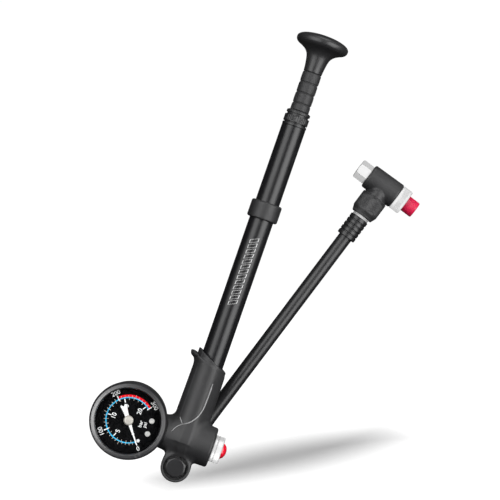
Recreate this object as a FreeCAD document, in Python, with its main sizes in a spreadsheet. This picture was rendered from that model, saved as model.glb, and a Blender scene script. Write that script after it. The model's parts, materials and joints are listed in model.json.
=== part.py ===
import FreeCAD, Part
import Sketcher

import math
import os
import re

from FreeCAD import Placement, Rotation, Vector

# A high-pressure mini pump with a pressure gauge, a swivelling hose and an elbow valve chuck.
# Millimetres, +Z up the barrel towards the handle. The origin is where the barrel's axis meets
# the cross axis that the gauge (-X) and the bleed valve (+X) share. The gauge faces -Y.

doc = FreeCAD.newDocument("MiniPump")

# ---------------------------------------------------------------- driving dimensions

SIZES = {
    # clearances
    "running_gap": 0.05,
    "seat_gap": 0.05,
    # barrel
    "barrel_radius": 8.0,
    "barrel_bore": 6.1,
    "barrel_bottom": 14.0,
    "barrel_top": 214.5,
    "barrel_seal_groove_depth": 1.5,
    "barrel_seal_thickness": 1.36,
    "barrel_seal_height": 18.9,
    # housing
    "cross_radius": 13.3,
    "cross_right": 18.7,
    "cross_waist": 0.0,
    "neck_radius": 11.0,
    "neck_left": -18.0,
    "socket_radius": 12.0,
    "socket_waist_radius": 11.2,
    "socket_waist": 47.0,
    "lip_radius": 14.9,
    "lip_top": 60.0,
    "lip_high_x": -10.5,
    "lip_high_z": 58.5,
    "lip_low_x": 10.7,
    "lip_low_z": 48.1,
    "swivel_drop": 18.9,
    "boss_radius": 9.6,
    "boss_front": -9.0,
    "boss_rear": 10.0,
    "boss_recess_radius": 8.0,
    "boss_recess_floor": -6.5,
    "passage_radius": 1.3,
    "rear_low_flat": 10.4,
    "rear_low_flat_top": 12.0,
    "rear_high_flat": 12.2,
    # check valve
    "valve_seat_radius": 4.95,
    "valve_seat_bottom": 8.5,
    "valve_seat_hole": 1.2,
    "ball_radius": 1.75,
    "valve_chamber_radius": 2.2,
    "valve_chamber_floor": 2.2,
    "check_spring_radius": 1.6,
    "check_spring_wire": 0.2,
    # hose clip on the barrel
    "clip_bottom": 150.5,
    "clip_top": 162.2,
    "clip_radius": 10.2,
    "hook_wall": 2.0,
    "hook_inner_x": -6.45,
    "hook_lip_x": 1.5,
    "hook_bottom": 151.5,
    "hook_top": 161.2,
    # gland at the barrel's top
    "gland_plug_bottom": 206.5,
    "gland_flange_radius": 8.1,
    "gland_flange_top": 216.1,
    "gland_neck_radius": 7.5,
    "gland_ring_bottom": 216.7,
    "gland_ring_top": 222.0,
    "gland_ring_radius": 8.15,
    "rest_ring_top": 224.9,
    "rest_ring_radius": 7.85,
    "rest_ring_top_radius": 6.6,
    "bush_radius": 4.8,
    "rod_seal_thickness": 1.7,
    "rod_seal_height": 217.6,
    # plunger
    "rod_radius": 3.5,
    "rod_bore": 1.5,
    "rod_bottom": 20.6,
    "rod_top": 255.0,
    "piston_radius": 6.0,
    "piston_bottom": 16.5,
    "piston_top": 26.5,
    "piston_groove_radius": 4.8,
    "piston_groove_bottom": 17.8,
    "piston_groove_height": 2.5,
    "bumper_radius": 5.6,
    "bumper_height": 4.0,
    "screw_hole": 1.6,
    "piston_screw_head_radius": 2.7,
    "piston_screw_top": 31.0,
    # handle
    "handle_bottom": 224.95,
    "core_radius": 5.0,
    "core_disc_bottom": 268.8,
    "core_disc_radius": 11.5,
    "core_disc_top": 272.0,
    "core_recess_radius": 2.9,
    "core_recess_depth": 3.0,
    "handle_screw_bottom": 244.0,
    "grip_radius": 6.2,
    "grip_groove_depth": 0.35,
    "grip_groove_first": 229.8,
    "grip_groove_pitch": 7.1,
    "knob_bottom": 251.2,
    "knob_neck_radius": 6.1,
    "knob_rim_radius": 17.4,
    "knob_rim_height": 271.4,
    "knob_top": 276.6,
    # gauge
    "gauge_x": -38.5,
    "bezel_radius": 25.2,
    "bezel_front": -14.2,
    "bezel_rear": -8.0,
    "bezel_opening": 21.2,
    "case_radius": 24.3,
    "case_front": -11.0,
    "case_rear": 9.5,
    "case_wall": 1.0,
    "lens_radius": 23.8,
    "lens_front": -12.5,
    "dial_radius": 23.0,
    "dial_front": -7.4,
    "dial_thickness": 0.5,
    "dial_screw_x": 14.4,
    "dial_screw_z": 4.35,
    "dial_screw_radius": 1.75,
    "stop_pin_x": 10.1,
    "stop_pin_z": -10.5,
    "pointer_length": 16.8,
    "pointer_tail": 10.0,
    "pointer_rest_angle": 52.8,
    "hub_radius": 3.2,
    "arbor_radius": 0.6,
    "frame_radius": 16.0,
    "frame_front": -5.2,
    "frame_rear": 0.4,
    "frame_plate": 0.8,
    "gear_module": 0.25,
    "pinion_teeth": 10,
    "sector_teeth": 100,
    "gear_front": -3.4,
    "gear_rear": -1.4,
    "tube_ring_radius": 17.5,
    "tube_section_radius": 1.5,
    "tube_ring_y": 4.8,
    "stem_radius": 4.8,
    # bleed valve
    "sleeve_radius": 8.9,
    "sleeve_right": 23.8,
    "sleeve_spigot_radius": 5.95,
    "sleeve_spigot_left": 9.5,
    "button_radius": 5.25,
    "button_shoulder": 24.2,
    "button_tip": 28.0,
    "bleed_stem_radius": 1.2,
    "bleed_recess_floor": 17.5,
    "bleed_chamber_radius": 3.1,
    "bleed_chamber_left": 3.2,
    "bleed_stem_head_radius": 2.3,
    "bleed_stem_left": 5.6,
    "bleed_stem_head_right": 7.4,
    "bleed_spring_radius": 3.2,
    "bleed_spring_wire": 0.35,
    # swivel
    "hex_flats": 12.3,
    "hex_front": -10.0,
    "bolt_radius": 3.95,
    "bolt_rear": 26.2,
    "hose_y": 17.5,
    "banjo_radius": 8.0,
    "banjo_bore": 4.02,
    "banjo_front": 11.0,
    "banjo_rear": 24.0,
    "clip_groove_radius": 3.2,
    # hose and its ferrules
    "hose_radius": 4.7,
    "hose_bore": 1.6,
    "ferrule_radius": 6.5,
    "ferrule_grip": 12.0,
    "ferrule_length": 15.6,
    "ferrule_groove_depth": 0.45,
    # chuck, measured along the hose from the hose's end
    "sleeve_bottom": 5.4,
    "sleeve_top": 20.2,
    "coupling_radius": 8.95,
    "coupling_mouth_radius": 7.35,
    "coupling_taper": 4.0,
    "chuck_height": 29.6,
    "chuck_radius": 8.7,
    "chuck_left": -12.1,
    "chuck_right": 10.9,
    "chuck_neck_radius": 8.9,
    "nut_length": 8.5,
    "nut_flats": 11.6,
    "nut_bevel_length": 3.2,
    "nut_thread_depth": 5.85,
    "gasket_depth": 7.5,
    "gasket_radius": 4.1,
    "gasket_hole": 1.6,
    "nut_throat": 2.6,
    "nut_groove_left": -9.6,
    "nut_groove_right": -8.8,
    "nut_groove_floor": 4.9,
    "nut_spigot_radius": 5.4,
    "valve_thread_radius": 3.9,
    "knob_ring_radius": 8.6,
    "knob_ring_length": 7.1,
    "knob_cap_radius": 5.55,
    "knob_cap_tip": 26.1,
    "pin_radius": 1.0,
}

sheet = doc.addObject("Spreadsheet::Sheet", "Sizes")
for row, (alias, value) in enumerate(SIZES.items(), start=1):
    sheet.set(f"A{row}", alias)
    sheet.set(f"B{row}", str(value))
    sheet.setAlias(f"B{row}", alias)
doc.recompute()

WORD = re.compile(r"[a-z][a-z_0-9]*")


def expression(text):
    """The text with each name of the sheet written as the sheet's cell."""
    return WORD.sub(lambda m: "Sizes." + m[0] if m[0] in SIZES else m[0], str(text))


def number(text):
    """The value of an expression of the sheet's names."""
    return FreeCAD.Units.Quantity(str(sheet.evalExpression(expression(text)))).Value


# ---------------------------------------------------------------- building blocks

TURN = {
    "Z": Rotation(),
    "X": Rotation(Vector(0, 1, 0), 90),
    "Y": Rotation(Vector(1, 0, 0), -90),
}
NODES = []


def keep(node):
    """Marks an object as one of the pump's pieces."""
    NODES.append(node)
    return node


def bind(obj, **sizes):
    """Binds an object's sizes to the sheet."""
    for name, text in sizes.items():
        obj.setExpression(name, expression(text))
    return obj


def locate(obj, at, axis="Z"):
    """Puts an object's own Z axis along the named axis, from the point at."""
    obj.Placement = Placement(Vector(), TURN[axis])
    for letter, text in zip("xyz", at):
        obj.setExpression(f"Placement.Base.{letter}", expression(text))
    return obj


def along(axis, start, across):
    """The point at start on an axis that is offset by across in the other two directions."""
    point = list(across)
    point.insert("XYZ".index(axis), start)
    return point


def cylinder(label, radius, start, end, axis="Z", across=(0, 0)):
    obj = doc.addObject("Part::Cylinder", label)
    bind(obj, Radius=radius, Height=f"({end}) - ({start})")
    return locate(obj, along(axis, start, across), axis)


def cone(label, radius_start, radius_end, start, end, axis="Z", across=(0, 0)):
    obj = doc.addObject("Part::Cone", label)
    bind(obj, Radius1=radius_start, Radius2=radius_end, Height=f"({end}) - ({start})")
    return locate(obj, along(axis, start, across), axis)


def hexagon(label, flats, start, end, axis, across=(0, 0)):
    """A six-sided bar, flats across, with two corners up and down."""
    obj = doc.addObject("Part::Prism", label)
    obj.Polygon = 6
    bind(obj, Circumradius=f"({flats}) / (2 * cos(30))", Height=f"({end}) - ({start})")
    locate(obj, along(axis, start, across), axis)
    if axis == "Y":
        obj.Placement.Rotation = TURN[axis] * Rotation(Vector(0, 0, 1), 30)
    return obj


def block(label, low, high):
    obj = doc.addObject("Part::Box", label)
    bind(
        obj,
        Length=f"({high[0]}) - ({low[0]})",
        Width=f"({high[1]}) - ({low[1]})",
        Height=f"({high[2]}) - ({low[2]})",
    )
    return locate(obj, low)


def ring(label, middle, thickness, at, axis="Z"):
    """An O-ring: a torus of section diameter thickness, whose section runs at radius middle."""
    obj = doc.addObject("Part::Torus", label)
    bind(obj, Radius1=middle, Radius2=f"({thickness}) / 2")
    return locate(obj, at, axis)


def fuse(label, *parts):
    obj = doc.addObject("Part::MultiFuse", label)
    obj.Shapes = list(parts)
    obj.Refine = True
    return obj


def cut(label, base, *tools):
    obj = doc.addObject("Part::Cut", label)
    obj.Base = base
    obj.Tool = tools[0] if len(tools) == 1 else fuse(label + "_cuts", *tools)
    obj.Refine = True
    return obj


def turned(label, outline, axis="Z", at=(0, 0, 0)):
    """A PartDesign body turned about its own Z axis, put along the named axis.

    outline holds the corners (radius, height) of the half section, as expressions.
    """
    body = doc.addObject("PartDesign::Body", label)
    sketch = body.newObject("Sketcher::SketchObject", label + "_section")
    planes = [f for f in body.Origin.OriginFeatures if f.Role == "XZ_Plane"]
    sketch.AttachmentSupport = [(planes[0], "")]
    sketch.MapMode = "FlatFace"
    corners = [Vector(number(r), number(z), 0) for r, z in outline]
    count = len(corners)
    for i in range(count):
        sketch.addGeometry(Part.LineSegment(corners[i], corners[(i + 1) % count]), False)
    for i in range(count):
        sketch.addConstraint(Sketcher.Constraint("Coincident", i, 2, (i + 1) % count, 1))
    for i, (radius, height) in enumerate(outline):
        for kind, text, value in (
            ("DistanceX", radius, corners[i].x),
            ("DistanceY", height, corners[i].y),
        ):
            if abs(value) < 1e-9:
                line = -2 if kind == "DistanceX" else -1
                sketch.addConstraint(Sketcher.Constraint("PointOnObject", i, 1, line))
                continue
            index = sketch.addConstraint(Sketcher.Constraint(kind, -1, 1, i, 1, value))
            sketch.setExpression(f"Constraints[{index}]", expression(text))
    turn = body.newObject("PartDesign::Revolution", label + "_turn")
    turn.Profile = sketch
    turn.ReferenceAxis = (sketch, ["V_Axis"])
    turn.Angle = 360
    sketch.Visibility = False
    locate(body, at, axis)
    return body


def tube(label, outer, inner, start, end, axis="Z", across=(0, 0)):
    """A plain turned ring."""
    length = f"({end}) - ({start})"
    outline = [(inner, 0), (outer, 0), (outer, length), (inner, length)]
    return turned(label, outline, axis, along(axis, start, across))


def spring(label, coil_radius, wire_radius, length, turns, at, axis="Z"):
    """A helical spring, as long as it stands at rest between its two seats."""
    travel = length - 2 * wire_radius
    helix = Part.makeHelix(travel / turns, travel, coil_radius)
    start = Part.makeCircle(wire_radius, Vector(coil_radius, 0, 0), Vector(0, 1, 0))
    coil = Part.Wire(helix.Edges).makePipeShell([Part.Wire([start])], True, True)
    obj = doc.addObject("Part::Feature", label)
    obj.Shape = coil
    lift = Placement(Vector(0, 0, wire_radius), Rotation())
    obj.Placement = Placement(Vector(*at), TURN[axis]).multiply(lift)
    return obj


def unbound(node):
    """Fixes a piece where the sheet has put it, so that another frame can be put on it."""
    doc.recompute()
    placement = FreeCAD.Placement(node.Placement)
    for letter in "xyz":
        node.setExpression(f"Placement.Base.{letter}", None)
    node.Placement = placement
    return node


# ---------------------------------------------------------------- housing


def make_housing():
    """The moulded housing: a cross tube, a barrel socket with a raised lip, and a hose boss."""
    drop = "-swivel_drop"
    cross = cylinder("cross_tube", "cross_radius", "cross_waist", "cross_right", "X")
    neck = cone("gauge_neck", "neck_radius", "cross_radius", "neck_left", "cross_waist", "X")
    socket = cone("socket", "socket_radius", "socket_waist_radius", "0", "socket_waist")
    lip = cone("lip", "socket_waist_radius", "lip_radius", "socket_waist", "lip_top")
    boss = cylinder("boss", "boss_radius", "boss_front", "boss_rear", "Y", (0, drop))
    web = block("web", ("-boss_radius", "boss_front", drop), ("boss_radius", "boss_rear", 0))
    solid = fuse("housing_solid", cross, neck, socket, lip, boss, web)

    # The socket's mouth is cut on a slope, high on the gauge's side.
    slope = math.atan2(
        SIZES["lip_high_z"] - SIZES["lip_low_z"], SIZES["lip_low_x"] - SIZES["lip_high_x"]
    )
    mouth = unbound(block("mouth_cut", (0, 0, 0), (80, 80, 40)))
    middle = Vector(
        (SIZES["lip_high_x"] + SIZES["lip_low_x"]) / 2,
        0,
        (SIZES["lip_high_z"] + SIZES["lip_low_z"]) / 2,
    )
    tilt = Rotation(Vector(0, 1, 0), math.degrees(slope))
    mouth.Placement = Placement(middle + tilt.multVec(Vector(-40, -40, 0)), tilt)

    # The back is flat, so that the hose swings past it.
    rear_low = block("rear_flat_low", (-60, "rear_low_flat", -60), (60, 40, "rear_low_flat_top"))
    rear_high = block("rear_flat_high", (-60, "rear_high_flat", 0), (60, 40, 90))

    saddle = cylinder("gauge_saddle", "bezel_radius + 0.3", -20, 20, "Y", ("gauge_x", 0))
    bore = cylinder("barrel_socket_bore", "barrel_radius + seat_gap", "barrel_bottom", 80)
    groove = cylinder(
        "barrel_seal_groove", "barrel_radius + barrel_seal_groove_depth",
        "barrel_seal_height - 0.9", "barrel_seal_height + 0.9",
    )
    seat = cylinder(
        "valve_seat_bore", "valve_seat_radius + 0.03", "valve_seat_bottom", "barrel_bottom"
    )
    chamber = cylinder(
        "valve_chamber", "valve_chamber_radius", "valve_chamber_floor", "valve_seat_bottom"
    )
    down = cylinder("down_passage", "passage_radius", drop, "valve_chamber_floor")
    gauge_bore = cylinder("gauge_bore", "stem_radius + seat_gap", -30, -6, "X")
    gauge_way = cylinder("gauge_passage", "passage_radius", -6, 0, "X")
    bleed_bore = cylinder(
        "bleed_bore", "sleeve_spigot_radius + seat_gap", "sleeve_spigot_left", "cross_right", "X"
    )
    bleed_way = cylinder(
        "bleed_chamber", "bleed_chamber_radius", "bleed_chamber_left", "sleeve_spigot_left", "X"
    )
    bleed_link = cylinder("bleed_passage", "passage_radius", 0, "bleed_chamber_left", "X")
    bolt_bore = cylinder("bolt_bore", "bolt_radius + seat_gap", -20, 20, "Y", (0, drop))
    recess = cylinder(
        "boss_recess", "boss_recess_radius", -20, "boss_recess_floor", "Y", (0, drop)
    )
    outside = [mouth, rear_low, rear_high, saddle, recess]
    inside = [bore, groove, seat, chamber, down, gauge_bore, gauge_way]
    inside += [bleed_bore, bleed_way, bleed_link, bolt_bore]
    keep(cut("housing", solid, *outside, *inside))


def make_barrel():
    """The barrel, its lower seal, and the one-way valve that it stands on."""
    keep(tube("barrel_tube", "barrel_radius", "barrel_bore", "barrel_bottom", "barrel_top"))
    seal_at = (0, 0, "barrel_seal_height")
    keep(ring("barrel_seal", "barrel_radius + 0.74", "barrel_seal_thickness", seal_at))
    keep(
        turned(
            "valve_seat",
            [
                ("valve_seat_hole", "valve_seat_bottom"),
                ("valve_seat_radius", "valve_seat_bottom"),
                ("valve_seat_radius", "barrel_bottom - seat_gap"),
                ("valve_seat_hole + 1.2", "barrel_bottom - seat_gap"),
                ("valve_seat_hole", "barrel_bottom - 1.2"),
            ],
        )
    )
    contact = math.sqrt(SIZES["ball_radius"] ** 2 - SIZES["valve_seat_hole"] ** 2)
    centre = SIZES["valve_seat_bottom"] - contact - 0.03
    ball = doc.addObject("Part::Sphere", "check_ball")
    bind(ball, Radius="ball_radius")
    keep(ball).Placement = Placement(Vector(0, 0, centre), Rotation())
    floor = SIZES["valve_chamber_floor"]
    length = centre - SIZES["ball_radius"] - floor - 0.04
    coil, wire = SIZES["check_spring_radius"], SIZES["check_spring_wire"]
    keep(spring("check_spring", coil, wire, length, 4, (0, 0, floor + 0.02)))


def make_clip():
    """The clip on the barrel: a ring, and a hook behind it that the folded hose lies in."""
    outer = cylinder("clip_ring", "clip_radius", "clip_bottom", "clip_top")
    rear_inner = "hose_y + hose_radius + 0.4"
    floor = block(
        "hook_floor",
        ("hook_inner_x - hook_wall", 4, "hook_bottom"),
        (4, "hose_y - hose_radius - 0.4", "hook_top"),
    )
    wall = block(
        "hook_side",
        ("hook_inner_x - hook_wall", 4, "hook_bottom"),
        ("hook_inner_x", f"{rear_inner} + hook_wall", "hook_top"),
    )
    lip = block(
        "hook_lip",
        ("hook_inner_x - hook_wall", rear_inner, "hook_bottom"),
        ("hook_lip_x", f"{rear_inner} + hook_wall", "hook_top"),
    )
    bore = cylinder("clip_bore", "barrel_radius + seat_gap", 140, 180)
    keep(cut("hose_clip", fuse("clip_solid", outer, floor, wall, lip), bore))


def make_gland():
    """What closes the barrel's top: a screwed cap, its bush and seal, and the handle's rest."""
    plug = "barrel_bore - seat_gap"
    keep(
        turned(
            "gland_cap",
            [
                ("bush_radius + seat_gap", "gland_plug_bottom"),
                (plug, "gland_plug_bottom"),
                (plug, "barrel_top"),
                ("gland_flange_radius", "barrel_top"),
                ("gland_flange_radius", "gland_flange_top"),
                ("gland_neck_radius", "gland_flange_top"),
                ("gland_neck_radius", "gland_ring_bottom"),
                ("gland_ring_radius", "gland_ring_bottom"),
                ("gland_ring_radius", "gland_ring_top"),
                ("rod_radius + 0.1", "gland_ring_top"),
                ("rod_radius + 0.1", "rod_seal_height + 1"),
                ("rod_radius + 1.8", "rod_seal_height + 1"),
                ("rod_radius + 1.8", "rod_seal_height - 1"),
                ("bush_radius + seat_gap", "rod_seal_height - 1"),
            ],
        )
    )
    keep(
        tube(
            "gland_bush", "bush_radius", "rod_radius + running_gap",
            "gland_plug_bottom + 0.3", "rod_seal_height - 1.05",
        )
    )
    keep(ring("rod_seal", "rod_radius + 0.92", "rod_seal_thickness", (0, 0, "rod_seal_height")))
    keep(
        turned(
            "rest_ring",
            [
                ("rod_radius + 0.2", "gland_ring_top"),
                ("rest_ring_radius", "gland_ring_top"),
                ("rest_ring_radius", "gland_ring_top + 1.2"),
                ("rest_ring_top_radius", "rest_ring_top"),
                ("rod_radius + 0.2", "rest_ring_top"),
            ],
        )
    )


# ---------------------------------------------------------------- plunger and handle


def make_plunger():
    """The rod with its piston, seal ring, bumper and screws."""
    keep(tube("piston_rod", "rod_radius", "rod_bore", "rod_bottom", "rod_top"))
    groove_top = "piston_groove_bottom + piston_groove_height"
    keep(
        turned(
            "piston",
            [
                ("screw_hole", "piston_bottom + 1"),
                (2.8, "piston_bottom + 1"),
                (2.8, "piston_bottom"),
                ("piston_radius - 0.3", "piston_bottom"),
                ("piston_radius", "piston_bottom + 0.3"),
                ("piston_radius", "piston_groove_bottom"),
                ("piston_groove_radius", "piston_groove_bottom"),
                ("piston_groove_radius", groove_top),
                ("piston_radius", groove_top),
                ("piston_radius", "piston_top"),
                ("rod_radius + 0.03", "piston_top"),
                ("rod_radius + 0.03", "rod_bottom - 0.02"),
                ("screw_hole", "rod_bottom - 0.02"),
            ],
        )
    )
    keep(
        tube(
            "piston_seal", "barrel_bore - running_gap", "piston_groove_radius + running_gap",
            "piston_groove_bottom + running_gap", f"{groove_top} - running_gap",
        )
    )
    keep(
        turned(
            "piston_screw",
            [
                (0, "piston_bottom - 0.8"),
                ("piston_screw_head_radius", "piston_bottom - 0.8"),
                ("piston_screw_head_radius", "piston_bottom + 0.97"),
                ("rod_bore - 0.03", "piston_bottom + 0.97"),
                ("rod_bore - 0.03", "piston_screw_top"),
                (0, "piston_screw_top"),
            ],
        )
    )
    keep(
        tube(
            "top_out_bumper", "bumper_radius", "rod_radius + 0.05",
            "piston_top + 0.02", "piston_top + bumper_height",
        )
    )


def make_handle():
    """The handle: a stiff core on the rod, a ribbed sleeve, and the palm knob on top."""
    bore = "rod_radius + 0.03"
    keep(
        turned(
            "handle_core",
            [
                (bore, "handle_bottom"),
                ("core_radius", "handle_bottom"),
                ("core_radius", "core_disc_bottom - 5"),
                ("core_disc_radius", "core_disc_bottom"),
                ("core_disc_radius", "core_disc_top"),
                ("core_recess_radius", "core_disc_top"),
                ("core_recess_radius", "core_disc_top - core_recess_depth"),
                ("screw_hole", "core_disc_top - core_recess_depth"),
                ("screw_hole", "rod_top + 0.02"),
                (bore, "rod_top + 0.02"),
            ],
        )
    )
    keep(
        turned(
            "handle_screw",
            [
                (0, "handle_screw_bottom"),
                ("rod_bore - 0.03", "handle_screw_bottom"),
                ("rod_bore - 0.03", "core_disc_top - core_recess_depth + 0.02"),
                ("core_recess_radius - 0.15", "core_disc_top - core_recess_depth + 0.02"),
                ("core_recess_radius - 0.15", "core_disc_top - 0.2"),
                (0, "core_disc_top - 0.2"),
            ],
        )
    )
    outline = [("core_radius + 0.02", "handle_bottom"), ("grip_radius", "handle_bottom")]
    for step in range(3):
        middle = f"grip_groove_first + {step} * grip_groove_pitch"
        for radius, height in (
            ("grip_radius", f"{middle} - 0.6"),
            ("grip_radius - grip_groove_depth", middle),
            ("grip_radius", f"{middle} + 0.6"),
        ):
            outline.append((radius, height))
    outline += [
        ("grip_radius", "knob_bottom - 0.6"),
        ("grip_radius - grip_groove_depth", "knob_bottom"),
        ("core_radius + 0.02", "knob_bottom"),
    ]
    keep(turned("grip_sleeve", outline))

    # The knob's outside is one curve from the neck to the rim, a round rim, and a shallow dome.
    neck, rim = number("knob_neck_radius"), number("knob_rim_radius")
    low, rim_height, top = number("knob_bottom"), number("knob_rim_height"), number("knob_top")
    flare = Part.BSplineCurve()
    flare.interpolate(
        Points=[
            Vector(neck - 0.35, 0, low),
            Vector(neck + 0.9, 0, low + 8.3),
            Vector(neck + 3.0, 0, low + 13.6),
            Vector(rim - 2.2, 0, rim_height - 3.0),
            Vector(rim, 0, rim_height),
            Vector(rim - 2.6, 0, rim_height + 3.0),
            Vector(0, 0, top),
        ],
        Tangents=[
            Vector(0.06, 0, 1), Vector(0.2, 0, 1), Vector(0.75, 0, 1), Vector(1, 0, 0.45),
            Vector(0, 0, 1), Vector(-1, 0, 0.42), Vector(-1, 0, 0),
        ],
        TangentFlags=[True] * 7,
    )
    inner = number("core_radius") + 0.02
    disc = number("core_disc_radius") + 0.05
    disc_low, disc_top = number("core_disc_bottom"), number("core_disc_top") + 0.05
    corners = [
        Vector(0, 0, top),
        Vector(0, 0, disc_top),
        Vector(disc, 0, disc_top),
        Vector(disc, 0, disc_low),
        Vector(inner, 0, disc_low - 5.03),
        Vector(inner, 0, low),
        Vector(neck - 0.35, 0, low),
    ]
    edges = [flare.toShape()]
    edges += [Part.makeLine(a, b) for a, b in zip(corners, corners[1:])]
    face = Part.Face(Part.Wire(edges))
    knob = doc.addObject("Part::Feature", "palm_knob")
    knob.Shape = face.revolve(Vector(), Vector(0, 0, 1), 360)
    keep(knob)


# ---------------------------------------------------------------- pressure gauge


def toothed(count, tip, root, half_tip, half_root):
    """The corners of a gear of stub teeth, starting on the tooth that points along +X."""
    corners = []
    for tooth in range(count):
        middle = 2 * math.pi * tooth / count
        for radius, half in (
            (root, -half_root), (tip, -half_tip), (tip, half_tip), (root, half_root),
        ):
            angle = middle + half / radius
            corners.append(Vector(radius * math.cos(angle), 0, radius * math.sin(angle)))
    return corners


def gear_solid(corners, start, end):
    """A flat gear between two heights along Y."""
    face = Part.Face(Part.makePolygon(corners + corners[:1]))
    face.translate(Vector(0, start, 0))
    return face.extrude(Vector(0, end - start, 0))


def disc(radius, start, end):
    """A plain cylinder about the Y axis."""
    return Part.makeCylinder(radius, end - start, Vector(0, start, 0), Vector(0, 1, 0))


def wedge(first, last, start, end):
    """A wedge about the Y axis, between two angles above +X and two heights along Y."""
    reach = 30
    corners = [Vector(0, start, 0)]
    for angle in (first, (first + last) / 2, last):
        turn = math.radians(angle)
        corners.append(Vector(reach * math.cos(turn), start, reach * math.sin(turn)))
    return Part.Face(Part.makePolygon(corners + corners[:1])).extrude(Vector(0, end - start, 0))


def make_gauge_case():
    """The gauge's case, its stem into the housing, the bezel ring and the lens."""
    centre = ("gauge_x", 0)
    shell = cylinder("case_blank", "case_radius", "case_front", "case_rear", "Y", centre)
    hollow = cylinder(
        "case_hollow", "case_radius - case_wall", "case_front - 1", "case_rear - case_wall",
        "Y", centre,
    )
    hole = cylinder("case_stem_hole", "stem_radius + seat_gap", -25, 0, "X")
    keep(cut("gauge_case", shell, hollow, hole))
    shank = cylinder("stem_shank", "stem_radius", -16, -6.2, "X")
    socket = block("stem_socket", (-21.5, -3.2, -4), (-15.9, 7, 4))
    way = cylinder("stem_passage", 1, -19, 0, "X")
    keep(cut("gauge_stem", fuse("stem_solid", shank, socket), way))
    keep(
        turned(
            "gauge_bezel",
            [
                ("bezel_opening", 0.7),
                ("bezel_opening + 0.5", 0),
                ("bezel_radius - 1", 0),
                ("bezel_radius", 1),
                ("bezel_radius", "bezel_rear - bezel_front"),
                ("case_radius + seat_gap", "bezel_rear - bezel_front"),
                ("case_radius + seat_gap", 1.65),
                ("bezel_opening", 1.65),
            ],
            "Y",
            ("gauge_x", "bezel_front", 0),
        )
    )
    keep(
        cylinder("gauge_lens", "lens_radius", "lens_front", "case_front - 0.05", "Y", centre)
    )
    tube_ring = doc.addObject("Part::Torus", "pressure_tube")
    bind(tube_ring, Radius1="tube_ring_radius", Radius2="tube_section_radius")
    tube_ring.Angle3 = 250
    locate(keep(tube_ring), ("gauge_x", "tube_ring_y", 0), "Y")


def make_dial():
    """The dial plate with its two screws and stop pin, and the frame of the movement behind."""
    centre = ("gauge_x", 0)
    rear = "dial_front + dial_thickness"
    plate = cylinder("dial_blank", "dial_radius", "dial_front", rear, "Y", centre)
    holes = [cylinder("dial_centre_hole", "arbor_radius + 0.4", -9, 0, "Y", centre)]
    screws, posts = [], []
    for name, side in (("upper", ""), ("lower", "-")):
        across = ("gauge_x + dial_screw_x", f"{side}dial_screw_z")
        holes.append(cylinder(f"dial_{name}_hole", 0.85, -9, 0, "Y", across))
        head = cylinder(
            f"{name}_screw_head", "dial_screw_radius", "dial_front - 0.9", "dial_front", "Y", across
        )
        shank = cylinder(f"{name}_screw_shank", 0.8, "dial_front - 0.2", -5.4, "Y", across)
        screws.append(fuse(f"{name}_screw", head, shank))
        post = cylinder(f"{name}_post", 1.6, rear, "frame_front", "Y", across)
        post_hole = cylinder(f"{name}_post_hole", 0.83, -9, 0, "Y", across)
        posts.append(cut(f"{name}_hollow_post", post, post_hole))
    pin_at = ("gauge_x + stop_pin_x", "stop_pin_z")
    holes.append(cylinder("stop_pin_hole", 0.62, -9, 0, "Y", pin_at))
    keep(cut("gauge_dial", plate, *holes))
    keep(fuse("dial_screws", *screws))
    head = cylinder("stop_pin_head", 1.05, "dial_front - 1.6", "dial_front", "Y", pin_at)
    shank = cylinder("stop_pin_shank", 0.6, "dial_front - 0.5", -6.2, "Y", pin_at)
    keep(fuse("stop_pin", head, shank))

    # Two plates and three pillars carry the arbor and the sector gear's shaft.
    plates = []
    for name, front in (("front_plate", "frame_front"), ("rear_plate", "frame_rear - frame_plate")):
        plates.append(cylinder(name, "frame_radius", front, f"{front} + frame_plate", "Y", centre))
    for index, angle in enumerate((60, 140, 330)):
        across = (f"gauge_x + 14.4 * cos({angle})", f"14.4 * sin({angle})")
        plates.append(cylinder(f"pillar_{index}", 0.9, "frame_front", "frame_rear", "Y", across))
    solid = fuse("frame_solid", *plates, *posts)
    arbor_hole = cylinder("arbor_hole", "arbor_radius + running_gap", -6, 2, "Y", centre)
    shaft = "gear_module * (pinion_teeth + sector_teeth) / 2 * cos(45)"
    shaft_at = (f"gauge_x - {shaft}", f"-{shaft}")
    shaft_hole = cylinder("sector_shaft_hole", "0.8 + running_gap", -6, 2, "Y", shaft_at)
    keep(cut("movement_frame", solid, arbor_hole, shaft_hole))


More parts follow.
